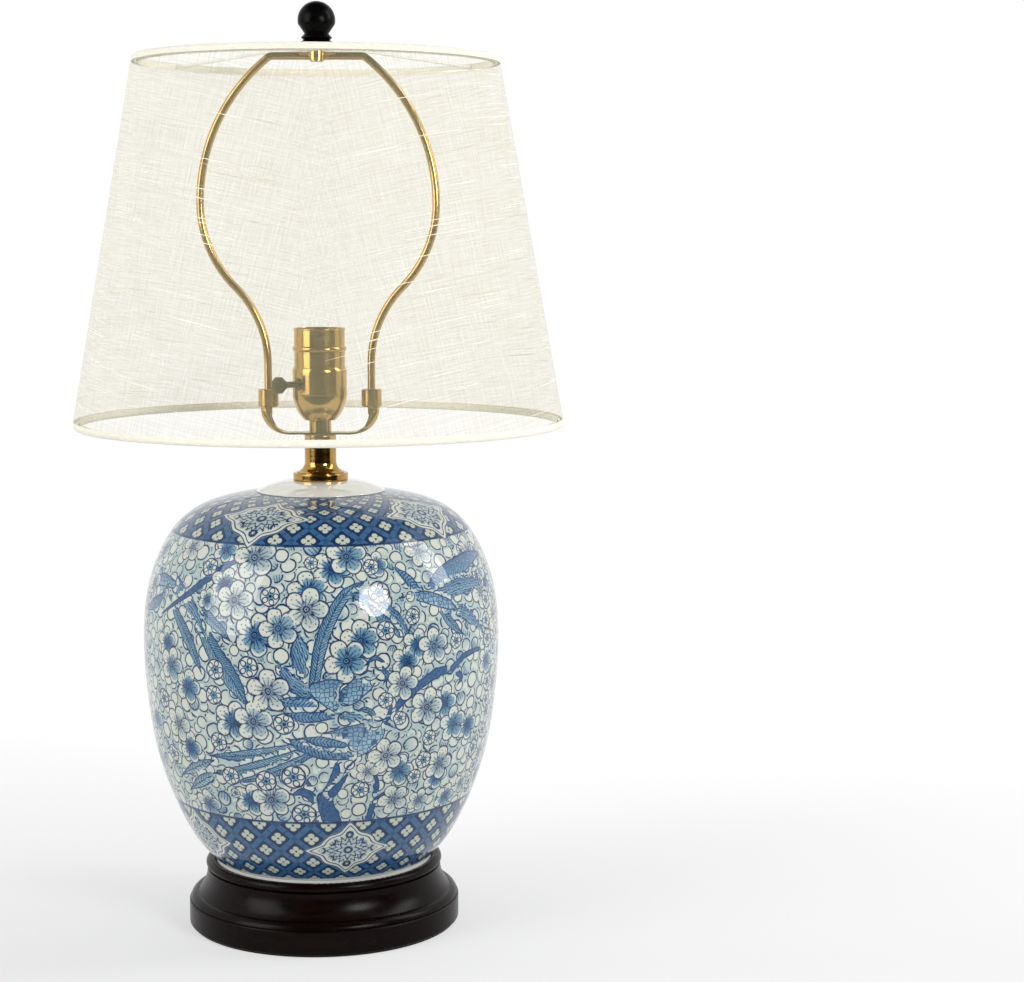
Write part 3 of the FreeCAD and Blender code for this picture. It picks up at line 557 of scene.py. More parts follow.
        reach = put("SQRT", put("ADD", put("POWER", x, 2.0), put("POWER", down, 2.0)))
        turn = put("ADD", put("DIVIDE", put("ARCTAN2", x, down), math.sin(lean)), side.value[0])
        radius = put("MULTIPLY_ADD", reach, math.sin(lean), put("MULTIPLY", z, math.cos(lean)))
        height = put("MULTIPLY_ADD", reach, -math.cos(lean), put("MULTIPLY", z, math.sin(lean)))
        height = put("ADD", height, self.top_z * MM + apex * math.cos(lean))
        wall = put("CombineXYZ", put("MULTIPLY", radius, put("COSINE", turn)),
                   put("MULTIPLY", radius, put("SINE", turn)), height)
        smooth = put("GeometryNodeSetShadeSmooth", put("GeometryNodeSetPosition", real, None, wall))
        put("NodeGroupOutput", put("GeometryNodeSetMaterial", smooth,
                                   ("Material", bpy.data.materials[self.yarn.name])))
        return tree

    def slub_yarns(self, side: Side) -> bpy.types.Object:
        """Grow one panel's slubs and keep them as a plain mesh.

        Args:
            side: The half that the panel covers.

        Returns:
            The yarns, riding with the shade.
        """
        bed = new_piece("slub_bed", bpy.data.meshes.new("slub_bed"))
        grow = bed.modifiers.new("slubs", "NODES")
        grow.node_group = self.slub_tree(side)
        for item in grow.node_group.interface.items_tree:
            if item.in_out == "INPUT":
                grow[item.identifier] = self.slub_sizes(side)[item.name]
        mesh = bpy.data.meshes.new_from_object(bed.evaluated_get(bpy.context.evaluated_depsgraph_get()))
        bpy.data.objects.remove(bed)
        yarns = new_piece("linen_slubs_" + side.name.lower(), mesh)
        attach(yarns, "lampshade")
        log.info("%s: %d faces", yarns.name, len(mesh.polygons))
        return yarns

    def build(self) -> None:
        """Make both panels with their slubs and dress the rolled hems."""
        self.yarn.build()
        film, linen = self.film.build(), self.linen.build()
        finish_nodes(film, ["shade_liner"])
        for side in Side:
            self.panel(side, linen, film)
        finish_nodes(self.tape.build(), ["shade_hem_top", "shade_hem_bottom"])


# ---------------------------------------------------------------- painted jar
class Brush(Enum):
    """What a painted stroke is, which sets its fill and its line work."""

    BRANCH = 0
    FEATHER = 1
    SCALES = 2
    PLUME = 3
    HEAD = 4
    WING = 5
    LEAF = 6


@dataclass(frozen=True)
class Motif:
    """A round motif: its place on the jar, outer radius in millimetres, turn and wash's depth."""

    azimuth: float
    height: float
    radius: float
    turn: float = 0.0
    tone: float = 0.0


@dataclass(frozen=True)
class Stroke:
    """A brush stroke: points of (azimuth in degrees, height, half width in millimetres)."""

    brush: Brush
    points: Sequence[tuple[float, float, float]]
    thinnest: float = 0.25

    def turned(self, degrees: float) -> "Stroke":
        """The same stroke further round the jar."""
        return Stroke(self.brush, tuple((a + degrees, z, w) for a, z, w in self.points))

    def smooth(self, steps: int = 5) -> np.ndarray:
        """Points on a smooth curve through the stroke's own.

        Args:
            steps: Points for each stretch.

        Returns:
            Rows of azimuth in radians, height and half width.
        """
        rows = np.array(self.points, dtype=float)
        rows[:, 0] = np.radians(rows[:, 0])
        ends = np.vstack([2 * rows[0] - rows[1], rows, 2 * rows[-1] - rows[-2]])
        out = []
        for i in range(len(rows) - 1):
            before, here, there, after = ends[i:i + 4]
            for t in np.arange(steps) / steps:
                out.append(0.5 * (2 * here + (there - before) * t
                                  + (2 * before - 5 * here + 4 * there - after) * t ** 2
                                  + (3 * here - before - 3 * there + after) * t ** 3))
        out.append(rows[-1])
        out = np.array(out)
        out[:, 2] = np.maximum(out[:, 2], self.thinnest)
        return out


def wrapped(angle: np.ndarray) -> np.ndarray:
    """Angles brought to between -pi and pi."""
    return (angle + math.pi) % (2 * math.pi) - math.pi


@dataclass(frozen=True)
class JarOutline:
    """The jar's outside, in millimetres, as the CAD node has it."""

    seat: float = 41.5
    foot_radius: float = 74.0
    foot_line: float = 5.0
    belly_radius: float = 120.6
    belly_height: float = 155.2
    mouth_z: float = 297.0
    cap_radius: float = 43.4
    mouth_radius: float = 30.0
    wall: float = 5.0
    foot_ring: float = 8.0
    floor: float = 6.0
    floor_lift: float = 4.0
    hole_radius: float = 5.3
    lower: tuple = ((0.105, 0.22), (0.263, 0.52), (0.472, 0.78), (0.735, 0.945))
    upper: tuple = ((0.326, 0.034), (0.65, 0.18), (0.807, 0.325), (0.884, 0.453), (0.966, 0.738))

    def stations(self) -> np.ndarray:
        """Points (radius, height) that the outside passes through."""
        swell = self.belly_radius - self.foot_radius
        belly_z = self.seat + self.belly_height
        rows = [(self.foot_radius, self.seat + self.foot_line)]
        rows += [(self.foot_radius + out * swell, self.seat + up * self.belly_height) for up, out in self.lower]
        rows.append((self.belly_radius, belly_z))
        rows += [(self.belly_radius + inward * (self.cap_radius - self.belly_radius),
                  belly_z + up * (self.mouth_z - belly_z)) for up, inward in self.upper]
        rows.append((self.cap_radius, self.mouth_z))
        return np.array(rows)

    def outside(self, count: int) -> np.ndarray:
        """Points on the smooth curve through the stations, evenly spaced along it.

        Args:
            count: How many points.

        Returns:
            Rows of (radius, height).
        """
        rows = self.stations()
        knots = np.concatenate([[0], np.cumsum(np.hypot(*np.diff(rows, axis=0).T))])
        gaps = np.diff(knots)
        size = len(knots)
        system, right = np.eye(size), np.zeros((size, 2))
        for i in range(1, size - 1):
            system[i, i - 1:i + 2] = gaps[i - 1], 2 * (gaps[i - 1] + gaps[i]), gaps[i]
            right[i] = 6 * ((rows[i + 1] - rows[i]) / gaps[i] - (rows[i] - rows[i - 1]) / gaps[i - 1])
        bend = np.linalg.solve(system, right)
        at = np.linspace(0, knots[-1], count)
        i = np.clip(np.searchsorted(knots, at, side="right") - 1, 0, size - 2)
        gap = gaps[i]
        a, b = ((knots[i + 1] - at) / gap)[:, None], ((at - knots[i]) / gap)[:, None]
        return (a * rows[i] + b * rows[i + 1]
                + ((a ** 3 - a) * bend[i] + (b ** 3 - b) * bend[i + 1]) * gap[:, None] ** 2 / 6)

    def profile(self, count: int) -> tuple[np.ndarray, int]:
        """The closed outline of the jar's wall, its outside first.

        Args:
            count: Points on the swelling outside.

        Returns:
            Rows of (radius, height), and how many of them lie on the outside.
        """
        skin = self.outside(count)
        foot = [(self.foot_radius - 1, self.seat), (self.foot_radius - 0.3, self.seat + 0.3),
                (self.foot_radius, self.seat + 1)]
        outside = np.vstack([foot, skin])
        along = np.gradient(skin, axis=0)
        along /= np.hypot(*along.T)[:, None]
        inner = (skin + np.stack([-along[:, 1], along[:, 0]], axis=1) * self.wall)[::-1][8:-6:8]
        low = self.seat + self.floor_lift
        inner = inner[inner[:, 1] > low + self.floor + 3]
        rest = [(self.mouth_radius + 1, self.mouth_z), (self.mouth_radius + 0.3, self.mouth_z - 0.3),
                (self.mouth_radius, self.mouth_z - 1), (self.mouth_radius, inner[0][1]), *inner,
                (self.foot_radius - self.foot_ring, low + self.floor), (self.hole_radius, low + self.floor),
                (self.hole_radius, low), (self.foot_radius - self.foot_ring, low),
                (self.foot_radius - self.foot_ring, self.seat)]
        return np.vstack([outside, rest]), len(outside)


Rows = tuple[tuple[float, ...], ...]
BRANCH, FEATHER, SCALES, PLUME, HEAD, WING, LEAF = Brush
# The painting's layout on the side that the photo shows: azimuth in degrees from the front
# towards +X, height in millimetres, then outer radius and turn, or a stroke's half width.
BLOSSOMS: Rows = (
    (-23.9, 238.7, 13.7, 10), (-8.5, 222.6, 13.7, 40), (-0.1, 234.5, 15, 0), (-48.9, 267.7, 10.9, 20),
    (-31.6, 269.1, 10, 0), (-19.1, 265.2, 15.5, 30), (-49.4, 192, 12.7, 0), (-11.9, 182.2, 15, 20),
    (-34.3, 237.9, 7.7, 0), (13.5, 266.3, 13.7, 15), (12, 201.7, 15, 50), (41.3, 206.5, 12.7, 20),
    (29.8, 184.8, 11.8, 0), (41.4, 266.1, 10.9, 30), (68.5, 189, 10.9, 0), (-17.1, 162, 14.1, 15),
    (-47.8, 153.2, 12.7, 0), (-13.2, 109.2, 13.7, 25), (-40.2, 100.1, 11.8, 10), (-64.5, 151.5, 11.8, 0),
    (25, 137.9, 12.7, 35), (38.8, 167.2, 13.7, 0), (50.7, 152.2, 12.7, 20), (46.2, 126.8, 12.3, 0),
    (29.3, 106.6, 11.4, 40), (39.8, 103.1, 8.7, 0), (19, 128, 8.2, 0), (53.2, 101.1, 10, 0),
    (61.7, 107.2, 8.2, 0), (72, 153, 10, 0),
)
BLOSSOMS_BEHIND: Rows = (
    (-16.1, 217.9, 15, 0), (0.5, 245.9, 13.7, 30), (-28.7, 247.9, 11.8, 0), (-41.5, 180.1, 12.3, 0),
    (-52, 206.2, 10.9, 20), (8.2, 259.4, 13.7, 0), (16.4, 214.4, 13.7, 20), (34.8, 208.9, 10.9, 0),
    (30.9, 199.3, 10.9, 0), (68.5, 204.3, 10.9, 0), (-24.2, 161.3, 14.1, 0), (-43.3, 139.3, 11.8, 0),
    (-20.9, 108, 12.7, 0), (-43.5, 96.1, 9.1, 0), (29.7, 126.7, 11.8, 0), (45.6, 168.3, 12.7, 0),
    (58.5, 148.9, 11.8, 0), (45.7, 118.2, 10.9, 0), (23.3, 260.8, 9.1, 0),
)
BUDS: Rows = (
    (-11.7, 242.3, 6.8), (-29.7, 193.9, 7.1), (-18.2, 197.2, 7.3), (-30.6, 177.1, 6.6), (23.3, 243.7, 7.7),
    (24.5, 219.7, 6.6), (50.8, 207.4, 5.6), (21.7, 259.3, 5.6), (34, 227, 5.5), (-30, 146.2, 6.6),
    (-27, 123.6, 6.8), (-14.3, 122.2, 7.5), (-7.2, 161.2, 7.3), (-4.9, 125.8, 8.4), (-2.1, 99.4, 8.4),
    (-54.1, 130.9, 6.4), (-26.3, 111.7, 3.8), (-55.5, 167.7, 6.8), (39.2, 131.4, 6.4), (40.7, 146, 5.6),
    (29.2, 162.1, 5), (65.3, 130, 6.4), (36.2, 120.7, 5.6), (17, 115.7, 6.4), (24.3, 175, 5.5),
    (-36, 257.5, 6.4), (1.2, 262.7, 4.6), (64.1, 262.1, 5),
)
STROKES_UNDER: Sequence[tuple[Brush, Rows]] = (
    (FEATHER, ((-49.1, 237.1, 1.3), (-37, 222.7, 4.2), (-29, 202.2, 6.2), (-22.9, 185.8, 5.7), (-18.9, 172.6, 0.8))),
    (FEATHER, ((-52.4, 236.3, 2.1), (-43.9, 218.7, 4.2), (-38.2, 202.7, 3.6), (-35.1, 190.9, 0.5))),
    (FEATHER, ((-51.4, 242.7, 1.3), (-37.7, 232.3, 3.6), (-28.5, 220.7, 3.4), (-24.1, 212.9, 0.5))),
    (PLUME, ((-62.6, 248.6, 3.6), (-48.9, 242.1, 5.2), (-39.3, 229.6, 3.6), (-33.6, 216.1, 0.8))),
    (WING, ((-71.6, 223.2, 2.1), (-62.9, 228.4, 4.2), (-57.6, 235, 2.6))),
    (SCALES, ((-68.9, 241.4, 2.6), (-60.1, 244.8, 4.4), (-52, 243.3, 3.1))),
    (PLUME, ((2.5, 185.2, 8.8), (-0.9, 202.5, 7.8), (-4, 220.7, 1.6))),
    (PLUME, ((-0.4, 182.7, 6.2), (-5, 190.1, 4.7), (-8.5, 200.3, 1))),
    (FEATHER, ((2.2, 187.7, 3.6), (4.4, 212.2, 4.4), (8, 231.3, 4.2), (13.1, 244.7, 3.4), (18.1, 249.9, 1))),
    (PLUME, ((15.5, 242.7, 2.1), (22.7, 234.8, 5.2), (28.6, 224.3, 4.7), (32.3, 213.8, 0.8))),
    (WING, ((20.2, 235.1, 1.6), (24.8, 224.4, 3.6), (28.7, 216.5, 1.6))),
    (LEAF, ((-51.2, 117.2, 0.5), (-41.2, 126, 4.4), (-33.4, 132.8, 0.8))),
    (LEAF, ((-48.9, 107.2, 0.5), (-39.7, 117.2, 4.2), (-31.8, 124.3, 0.8))),
    (FEATHER, ((1.1, 147.8, 2.6), (-13.2, 140.9, 4.4), (-24, 137.7, 3.4), (-34.5, 135.7, 0.5))),
    (FEATHER, ((1.1, 144.8, 2.6), (-13.4, 133.1, 4.7), (-24.7, 127, 3.6), (-34, 123.7, 0.5))),
    (FEATHER, ((1.6, 142.2, 2.1), (-8.4, 130.9, 3.6), (-17.9, 123.8, 2.6), (-26.9, 119.1, 0.5))),
    (BRANCH, ((-55.7, 224.2, 0.8), (-42.4, 240.6, 2.3), (-32.5, 254.8, 2.6), (-24.3, 263.9, 1.6), (-14.1, 268.2, 0.5))),
    (BRANCH, ((24.6, 162.3, 2.1), (32.2, 177.4, 2.9), (42.1, 188.3, 3.4), (50.8, 189.8, 2.3))),
    (BRANCH, ((49.6, 188.9, 2.6), (53.4, 182.6, 2.1), (51.8, 178.5, 0.8))),
    (BRANCH, ((49, 189.6, 2.3), (56.2, 197, 2.1), (70.6, 198.9, 1))),
    (BRANCH, ((25.2, 162.7, 1.8), (26, 170.2, 1.3), (25.4, 177.8, 0.5))),
    (BRANCH, ((-3.4, 131.2, 2.1), (-1.9, 121.1, 4.7), (1.5, 110.4, 5.2), (4.8, 95.3, 6.2))),
    (BRANCH, ((-5.4, 113.5, 1), (-1.9, 115.3, 3.1), (2.5, 109, 3.6))),
    (BRANCH, ((9.1, 133.5, 1.8), (8.3, 120.9, 4.2), (5.4, 107.5, 5.2), (7.8, 94, 6.2))),
    (BRANCH, ((12.6, 127.1, 0.8), (10.2, 120.7, 2.3), (7.7, 114.2, 3.1))),
    (BRANCH, ((20.7, 93.4, 2.3), (22.1, 108.2, 2.1), (22.6, 120.2, 1.6), (20.7, 129.4, 0.8))),
    (BRANCH, ((22.4, 108.2, 1.3), (27.6, 113.8, 1.3), (33.5, 113.7, 0.5))),
    (BRANCH, ((66.4, 232.4, 2.6), (75.5, 239.5, 2.3), (78.9, 250.6, 1))),
)
STROKES_OVER: Sequence[tuple[Brush, Rows]] = (
    (WING, ((12.9, 172.1, 5.2), (4.2, 171.2, 6.8), (-4, 174.2, 5.2), (-7.9, 177, 0.8))),
    (WING, ((7.7, 167, 2.6), (-0.5, 165.7, 3.6), (-6.4, 168.6, 0.8))),
    (SCALES, ((2.5, 184, 4.7), (8.9, 180, 10.4), (14.7, 171.9, 8.8), (18.3, 165.9, 3.1))),
    (SCALES, ((12.9, 179.6, 6.8), (17.1, 186.7, 6.8), (19.9, 193.3, 5.2))),
    (HEAD, ((19.5, 194.3, 6), (20.4, 196.1, 6))),
    (FEATHER, ((18.1, 198.9, 0.8), (20.9, 203, 1.8), (23.6, 199.6, 1))),
    (FEATHER, ((22.9, 196.3, 1.6), (24.6, 191.5, 1.8), (23.6, 186.2, 0.5))),
    (HEAD, ((20.9, 196.1, 1.6), (21.2, 196.1, 1.6))),
    (BRANCH, ((21.1, 196.1, 0.7), (21.2, 196.1, 0.7))),
    (BRANCH, ((17.8, 194, 1.3), (16.1, 192.2, 0.3))),
    (PLUME, ((18.5, 156.2, 2.6), (14.7, 163.8, 4.2), (10, 166.8, 1))),
    (SCALES, ((-1.3, 146.3, 3.1), (5.3, 147.2, 7.8), (13, 148.2, 11.4), (19.7, 153.4, 8.8), (21.9, 160.2, 4.7))),
    (WING, ((12.5, 139.9, 3.1), (5.2, 143.1, 5.7), (-1.9, 147.3, 4.2), (-5.7, 150.8, 0.8))),
    (WING, ((11.2, 146.8, 2.1), (4.1, 149.8, 3.6), (-1.3, 151.9, 0.8))),
    (HEAD, ((21.1, 161.9, 4.9), (22.3, 162.7, 4.9))),
    (FEATHER, ((20, 167.1, 2.1), (17.6, 170, 1.8), (15.4, 169.8, 0.5))),
    (HEAD, ((22.6, 163.2, 1.4), (22.8, 163.1, 1.4))),
    (BRANCH, ((22.7, 163.2, 0.6), (22.8, 163.1, 0.6))),
    (BRANCH, ((24.6, 159.7, 1.3), (27.6, 155.8, 0.3))),
    (BRANCH, ((15, 136.6, 0.8), (12.6, 131.6, 1), (11.4, 127.5, 0.5))),
    (PLUME, ((47, 232.7, 2.6), (57.3, 222.5, 4.7), (66.8, 208.8, 0.8))),
    (FEATHER, ((43.7, 233.5, 2.1), (49.3, 219.2, 3.4), (54.9, 210.1, 0.5))),
    (WING, ((38, 239.5, 2.1), (34.7, 249.2, 3.6), (30.9, 256.9, 1.3))),
    (WING, ((40.3, 239.1, 2.6), (49.5, 249.2, 6.8), (66, 256.5, 5.2), (77.6, 257.9, 1))),
    (PLUME, ((42.4, 237.4, 2.1), (56, 241.6, 5.7), (71.7, 240.6, 1.6))),
    (SCALES, ((34.3, 240.2, 2.1), (40.9, 237.5, 4.4), (48.6, 231.8, 3.6), (52.2, 227.9, 1))),
    (HEAD, ((32.6, 240.5, 2.9), (33.5, 240.8, 2.9))),
    (BRANCH, ((33.2, 241.1, 0.5), (33.4, 241.1, 0.5))),
    (BRANCH, ((31.3, 239.8, 1), (29.1, 238.7, 0.3))),
)


def coats(put: Put, beneath: object, *layers: tuple[object, object]) -> object:
    """Lay coats of colour over one another.

    Args:
        put: Adds a node to the tree.
        beneath: The first colour.
        layers: Each coat's cover and colour.

    Returns:
        The last colour.
    """
    for cover, colour in layers:
        beneath = put("Mix RGBA", cover, beneath, colour)
    return beneath


def inked(put: Put, distance: object, half: float, middle: float = 0.0) -> bpy.types.Node:
    """A brush line, soft at its rims.

    Args:
        put: Adds a node to the tree.
        distance: What the line's width is measured along.
        half: Half that width, in the distance's own unit.
        middle: The distance at the line's middle.

    Returns:
        A mask that is 1 within the line.
    """
    if middle:
        distance = put("SUBTRACT", distance, middle)
    return put("MapRange", put("ABSOLUTE", distance), half * 0.6, half * 1.4, 1.0, 0.0)


def folded(put: Put, reach: object, turn: object, count: int, start: float,
           radius: float) -> tuple[bpy.types.Node, bpy.types.Node]:
    """Fold a disc into equal wedges, so that one mark repeats round it.

    Args:
        put: Adds a node to the tree.
        reach: Distance from the disc's middle.
        turn: Angle about it.
        count: How many wedges.
        start: What is added to the angle first.
        radius: How far out the mark stands.

    Returns:
        Distance outwards from the mark, and distance across its wedge.
    """
    turn = put("WRAP", put("ADD", turn, start), math.pi / count, -math.pi / count)
    return (put("SUBTRACT", put("MULTIPLY", reach, put("COSINE", turn)), radius),
            put("MULTIPLY", reach, put("SINE", turn)))


@dataclass(frozen=True)
class PaintedPorcelain:
    """Hand-painted porcelain: washes and lines of cobalt on an off-white body, under thick clear glaze.

    The glaze gives small sharp highlights; the cobalt pools dark in lines and thins to teal in washes.
    Each painter turns a place within its motif into a cover and a colour.
    """

    name: str = "blue_and_white_porcelain"
    ground: str = "#9fb3b0"
    tint: str = "#b9c2b9"
    petal: str = "#c5c9bd"
    navy: str = "#082452"
    cobalt: str = "#1c4e7c"
    pale: str = "#6d95a4"
    teal: str = "#55859c"
    glaze: str = "#dfe1dc"
    scale: str = "#86a9ba"
    plume: str = "#7298ab"
    head: str = "#a5bcbf"
    wing: str = "#5f87a2"
    leaf: str = "#93b3b3"
    band: str = "#11335e"
    band_hole: str = "#0b244c"
    band_stripe: str = "#477aa0"
    band_flower: str = "#b5bdab"
    foot_line: tuple[float, float] = (48.2, 48.8)

    def blossom(self, put: Put, ink: object, place: object) -> tuple[object, object]:
        """A five-petalled plum blossom with its stamens.

        Args:
            put: Adds a node.
            ink: The line colour.
            place: -1 to 1 each way, its third number the wash's depth.

        Returns:
            Its cover and colour.
        """
        x, y, depth = put("SeparateXYZ", place).outputs
        flat = put("VectorMath MULTIPLY", place, (1.0, 1.0, 0.0))
        reach, turn = put("VectorMath LENGTH", flat), put("ARCTAN2", y, x)
        folds = []
        for count, start, radius in ((5, 0.0, 0.6), (16, 0.0, 0.58), (16, math.pi / 16, 0.74)):
            along, across = folded(put, reach, turn, count, start, radius)
            folds.append((across, put("VectorMath LENGTH", put("CombineXYZ", along, across))))
        petal = put("SUBTRACT", folds[0][1], 0.385)
        whole = put("MINIMUM", petal, put("SUBTRACT", reach, 0.42))
        spread = put("VectorMath LENGTH", put("VectorMath SUBTRACT", flat, (0.14, -0.1, 0.0)))
        rim = put("MULTIPLY_ADD", put("COSINE", put("MULTIPLY", turn, 5.0)), -0.07, spread)
        wash = put("MULTIPLY", put("MapRange", rim, 0.66, 0.56, 0.0, 1.0),
                   put("MapRange", depth, 0.28, 0.5, 0.15, 1.0))
        deep = put("MULTIPLY", put("MapRange", spread, 0.6, 0.1, 0.0, 1.0), depth, use_clamp=True)
        outline = put("MULTIPLY", inked(put, petal, 0.05), put("MapRange", reach, 0.2, 0.3, 0.0, 1.0))
        lines = put("MULTIPLY", inked(put, folds[1][0], 0.022), put("MapRange", reach, 0.56, 0.48, 0.0, 1.0))
        dots = put("MAXIMUM", inked(put, folds[1][1], 0.035), inked(put, folds[2][1], 0.032))
        heart = put("MAXIMUM", inked(put, reach, 0.035, 0.12), inked(put, reach, 0.05))
        stamens = put("MULTIPLY", put("MAXIMUM", lines, dots), put("MapRange", reach, 0.13, 0.16, 0.0, 1.0))
        stamens = put("MULTIPLY", stamens, put("MapRange", depth, 0.0, 0.8, 0.7, 1.0))
        marks = put("MAXIMUM", put("MAXIMUM", outline, heart), stamens)
        return (put("MapRange", whole, 0.0, 0.04, 1.0, 0.0),
                coats(put, self.petal, (wash, self.pale), (deep, self.cobalt), (marks, ink)))

    def bud(self, put: Put, ink: object, place: object) -> tuple[object, object]:
        """A round bud: a dark ring, five ovals in it and a dark star in the middle.

        Args:
            put: Adds a node.
            ink: The line colour.
            place: -1 to 1 each way.

        Returns:
            Its cover and colour.
        """
        x, y, _ = put("SeparateXYZ", place).outputs
        reach = put("VectorMath LENGTH", put("VectorMath MULTIPLY", place, (1.0, 1.0, 0.0)))
        along, across = folded(put, reach, put("ARCTAN2", y, x), 5, 0.0, 0.56)
        spot = put("CombineXYZ", put("MULTIPLY", along, 0.85), across)
        oval = inked(put, put("VectorMath LENGTH", spot), 0.05, 0.235)
        star = put("MapRange", reach, 0.13, 0.2, 1.0, 0.0)
        marks = put("MAXIMUM", put("MAXIMUM", inked(put, reach, 0.075, 0.92), oval), star)
        inner = put("MapRange", reach, 0.32, 0.5, 0.0, 1.0)
        return put("MapRange", reach, 0.96, 1.04, 1.0, 0.0), coats(put, self.pale, (inner, self.petal), (marks, ink))

    def oval(self, put: Put, ink: object, place: object) -> tuple[object, object]:
        """A small filling oval, plain or washed.

        Args:
            put: Adds a node.
            ink: The line colour.
            place: -1 to 1 each way, its third number the wash's depth.

        Returns:
            Its cover and colour.
        """
        x, y, depth = put("SeparateXYZ", place).outputs
        reach = put("VectorMath LENGTH", put("VectorMath MULTIPLY", place, (1.0, 1.08, 0.0)))
        lit = put("POWER", put("MapRange", x, -0.9, 0.7, 1.0, 0.0), 0.7)
        wash = put("MULTIPLY", put("MapRange", depth, 0.55, 0.9, 0.0, 1.0), lit)
        ticks = put("PINGPONG", put("MULTIPLY", y, 5.0), 0.9)
        core = put("MULTIPLY", inked(put, ticks, 0.22), put("GREATER_THAN", wash, 0.45))
        marks = put("MAXIMUM", inked(put, reach, 0.105, 0.88), core)
        return put("MapRange", reach, 0.94, 1.04, 1.0, 0.0), coats(put, self.petal, (wash, self.teal), (marks, ink))

    def stroke(self, put: Put, ink: object, place: object, kind: object) -> tuple[object, object]:
        """A brush stroke in its own line work.

        Args:
            put: Adds a node.
            ink: The line colour.
            place: Millimetres along and across, and the half width.
            kind: The brush, and as third number the stroke's seed.

        Returns:
            Its cover and colour.
        """
        along, across, half = put("SeparateXYZ", place).outputs
        brush, _, seed = put("SeparateXYZ", kind).outputs
        away = put("ABSOLUTE", across)
        load = put("TexNoise", put("CombineXYZ", along, across, put("MULTIPLY", seed, 40.0)), 0.45, 2.0)
        mine = {each: put("COMPARE", brush, float(each.value), 0.4) for each in Brush}
        ragged = put("MULTIPLY", put("SUBTRACT", load, 0.5), mine[PLUME])
        edge = put("MULTIPLY_ADD", ragged, 7.0, put("SUBTRACT", away, half))
        feather, vein, wing = (
            inked(put, put("PINGPONG", put("MULTIPLY_ADD", away, lean, along), gap), width)
            for lean, gap, width in ((-1.1, 1.0, 0.36), (-0.9, 1.5, 0.42), (0.6, 1.1, 0.36)))
        rib = inked(put, away, 0.35)
        cells = put("TexVoronoi", put("TexCoord").outputs["Object"], 340.0, ("Randomness", 0.55),
                    feature="DISTANCE_TO_EDGE")
        scales = put("MapRange", cells, 0.05, 0.12, 0.85, 0.0)
        plume = inked(put, put("PINGPONG", put("MULTIPLY_ADD", load, 3.0, across), 0.85), 0.3)
        colour, marks = self.petal, 0.0
        for each, tone, line in (
                (BRANCH, self.cobalt, put("MapRange", load, 0.5, 0.62, 0.0, 0.8)),
                (FEATHER, self.pale, put("MAXIMUM", feather, rib)), (SCALES, self.scale, scales),
                (PLUME, self.plume, plume), (HEAD, self.head, put("MULTIPLY", scales, 0.6)),
                (WING, self.wing, wing), (LEAF, self.leaf, put("MAXIMUM", vein, rib))):
            colour = put("Mix RGBA", mine[each], colour, tone)
            marks = put("MULTIPLY_ADD", mine[each], line, marks)
        side = put("DIVIDE", across, put("MAXIMUM", half, 0.2))
        marks = put("MAXIMUM", marks, inked(put, edge, 0.42, -0.4))
        return (put("MapRange", edge, -0.1, 0.1, 1.0, 0.0),
                coats(put, colour, (put("MapRange", load, 0.5, 0.75, 0.0, 0.6), self.petal),
                      (put("MapRange", side, -0.9, 0.6, 0.55, 0.0), self.cobalt),
                      (marks, put("Mix RGBA", 0.35, ink, self.cobalt))))

    def lattice(self, put: Put, ink: object, place: object) -> tuple[object, object]:
        """The two bands: double lines crossing, with a four-lobed flower in each diamond.

        Args:
            put: Adds a node.
            ink: The line colour.
            place: Two numbers that are whole on the lines' middles, and millimetres into a band.

        Returns:
            Its cover and colour.
        """
        *ways, depth = put("SeparateXYZ", place).outputs
        sides = [put("ABSOLUTE", put("SUBTRACT", put("FRACT", way), 0.5)) for way in ways]
        rim, core, spot = put("MAXIMUM", *sides), put("MINIMUM", *sides), put("CombineXYZ", *sides)
        flower = put("MapRange", put("VectorMath DISTANCE", spot, (0.12, 0.12, 0.0)), 0.118, 0.148, 1.0, 0.0)
        stripes = put("PINGPONG", put("SUBTRACT", 0.5, rim), 0.03)
        strip = put("MULTIPLY", inked(put, stripes, 0.014, 0.03), put("GREATER_THAN", rim, 0.375))
        strip = put("MULTIPLY_ADD", put("GREATER_THAN", core, 0.375), -0.4, strip, use_clamp=True)
        notch = put("MULTIPLY", inked(put, core, 0.02), put("MapRange", rim, 0.13, 0.16, 0.0, 1.0))
        marks = put("MAXIMUM", put("MAXIMUM", inked(put, put("VectorMath LENGTH", spot), 0.05), notch),
                    inked(put, depth, 0.9, 0.8))
        return (put("MapRange", depth, -0.4, 0.2, 0.0, 1.0),
                coats(put, self.band, (put("MapRange", rim, 0.3, 0.4, 0.85, 0.0), self.band_hole),
                      (strip, self.band_stripe), (flower, self.band_flower), (marks, ink)))

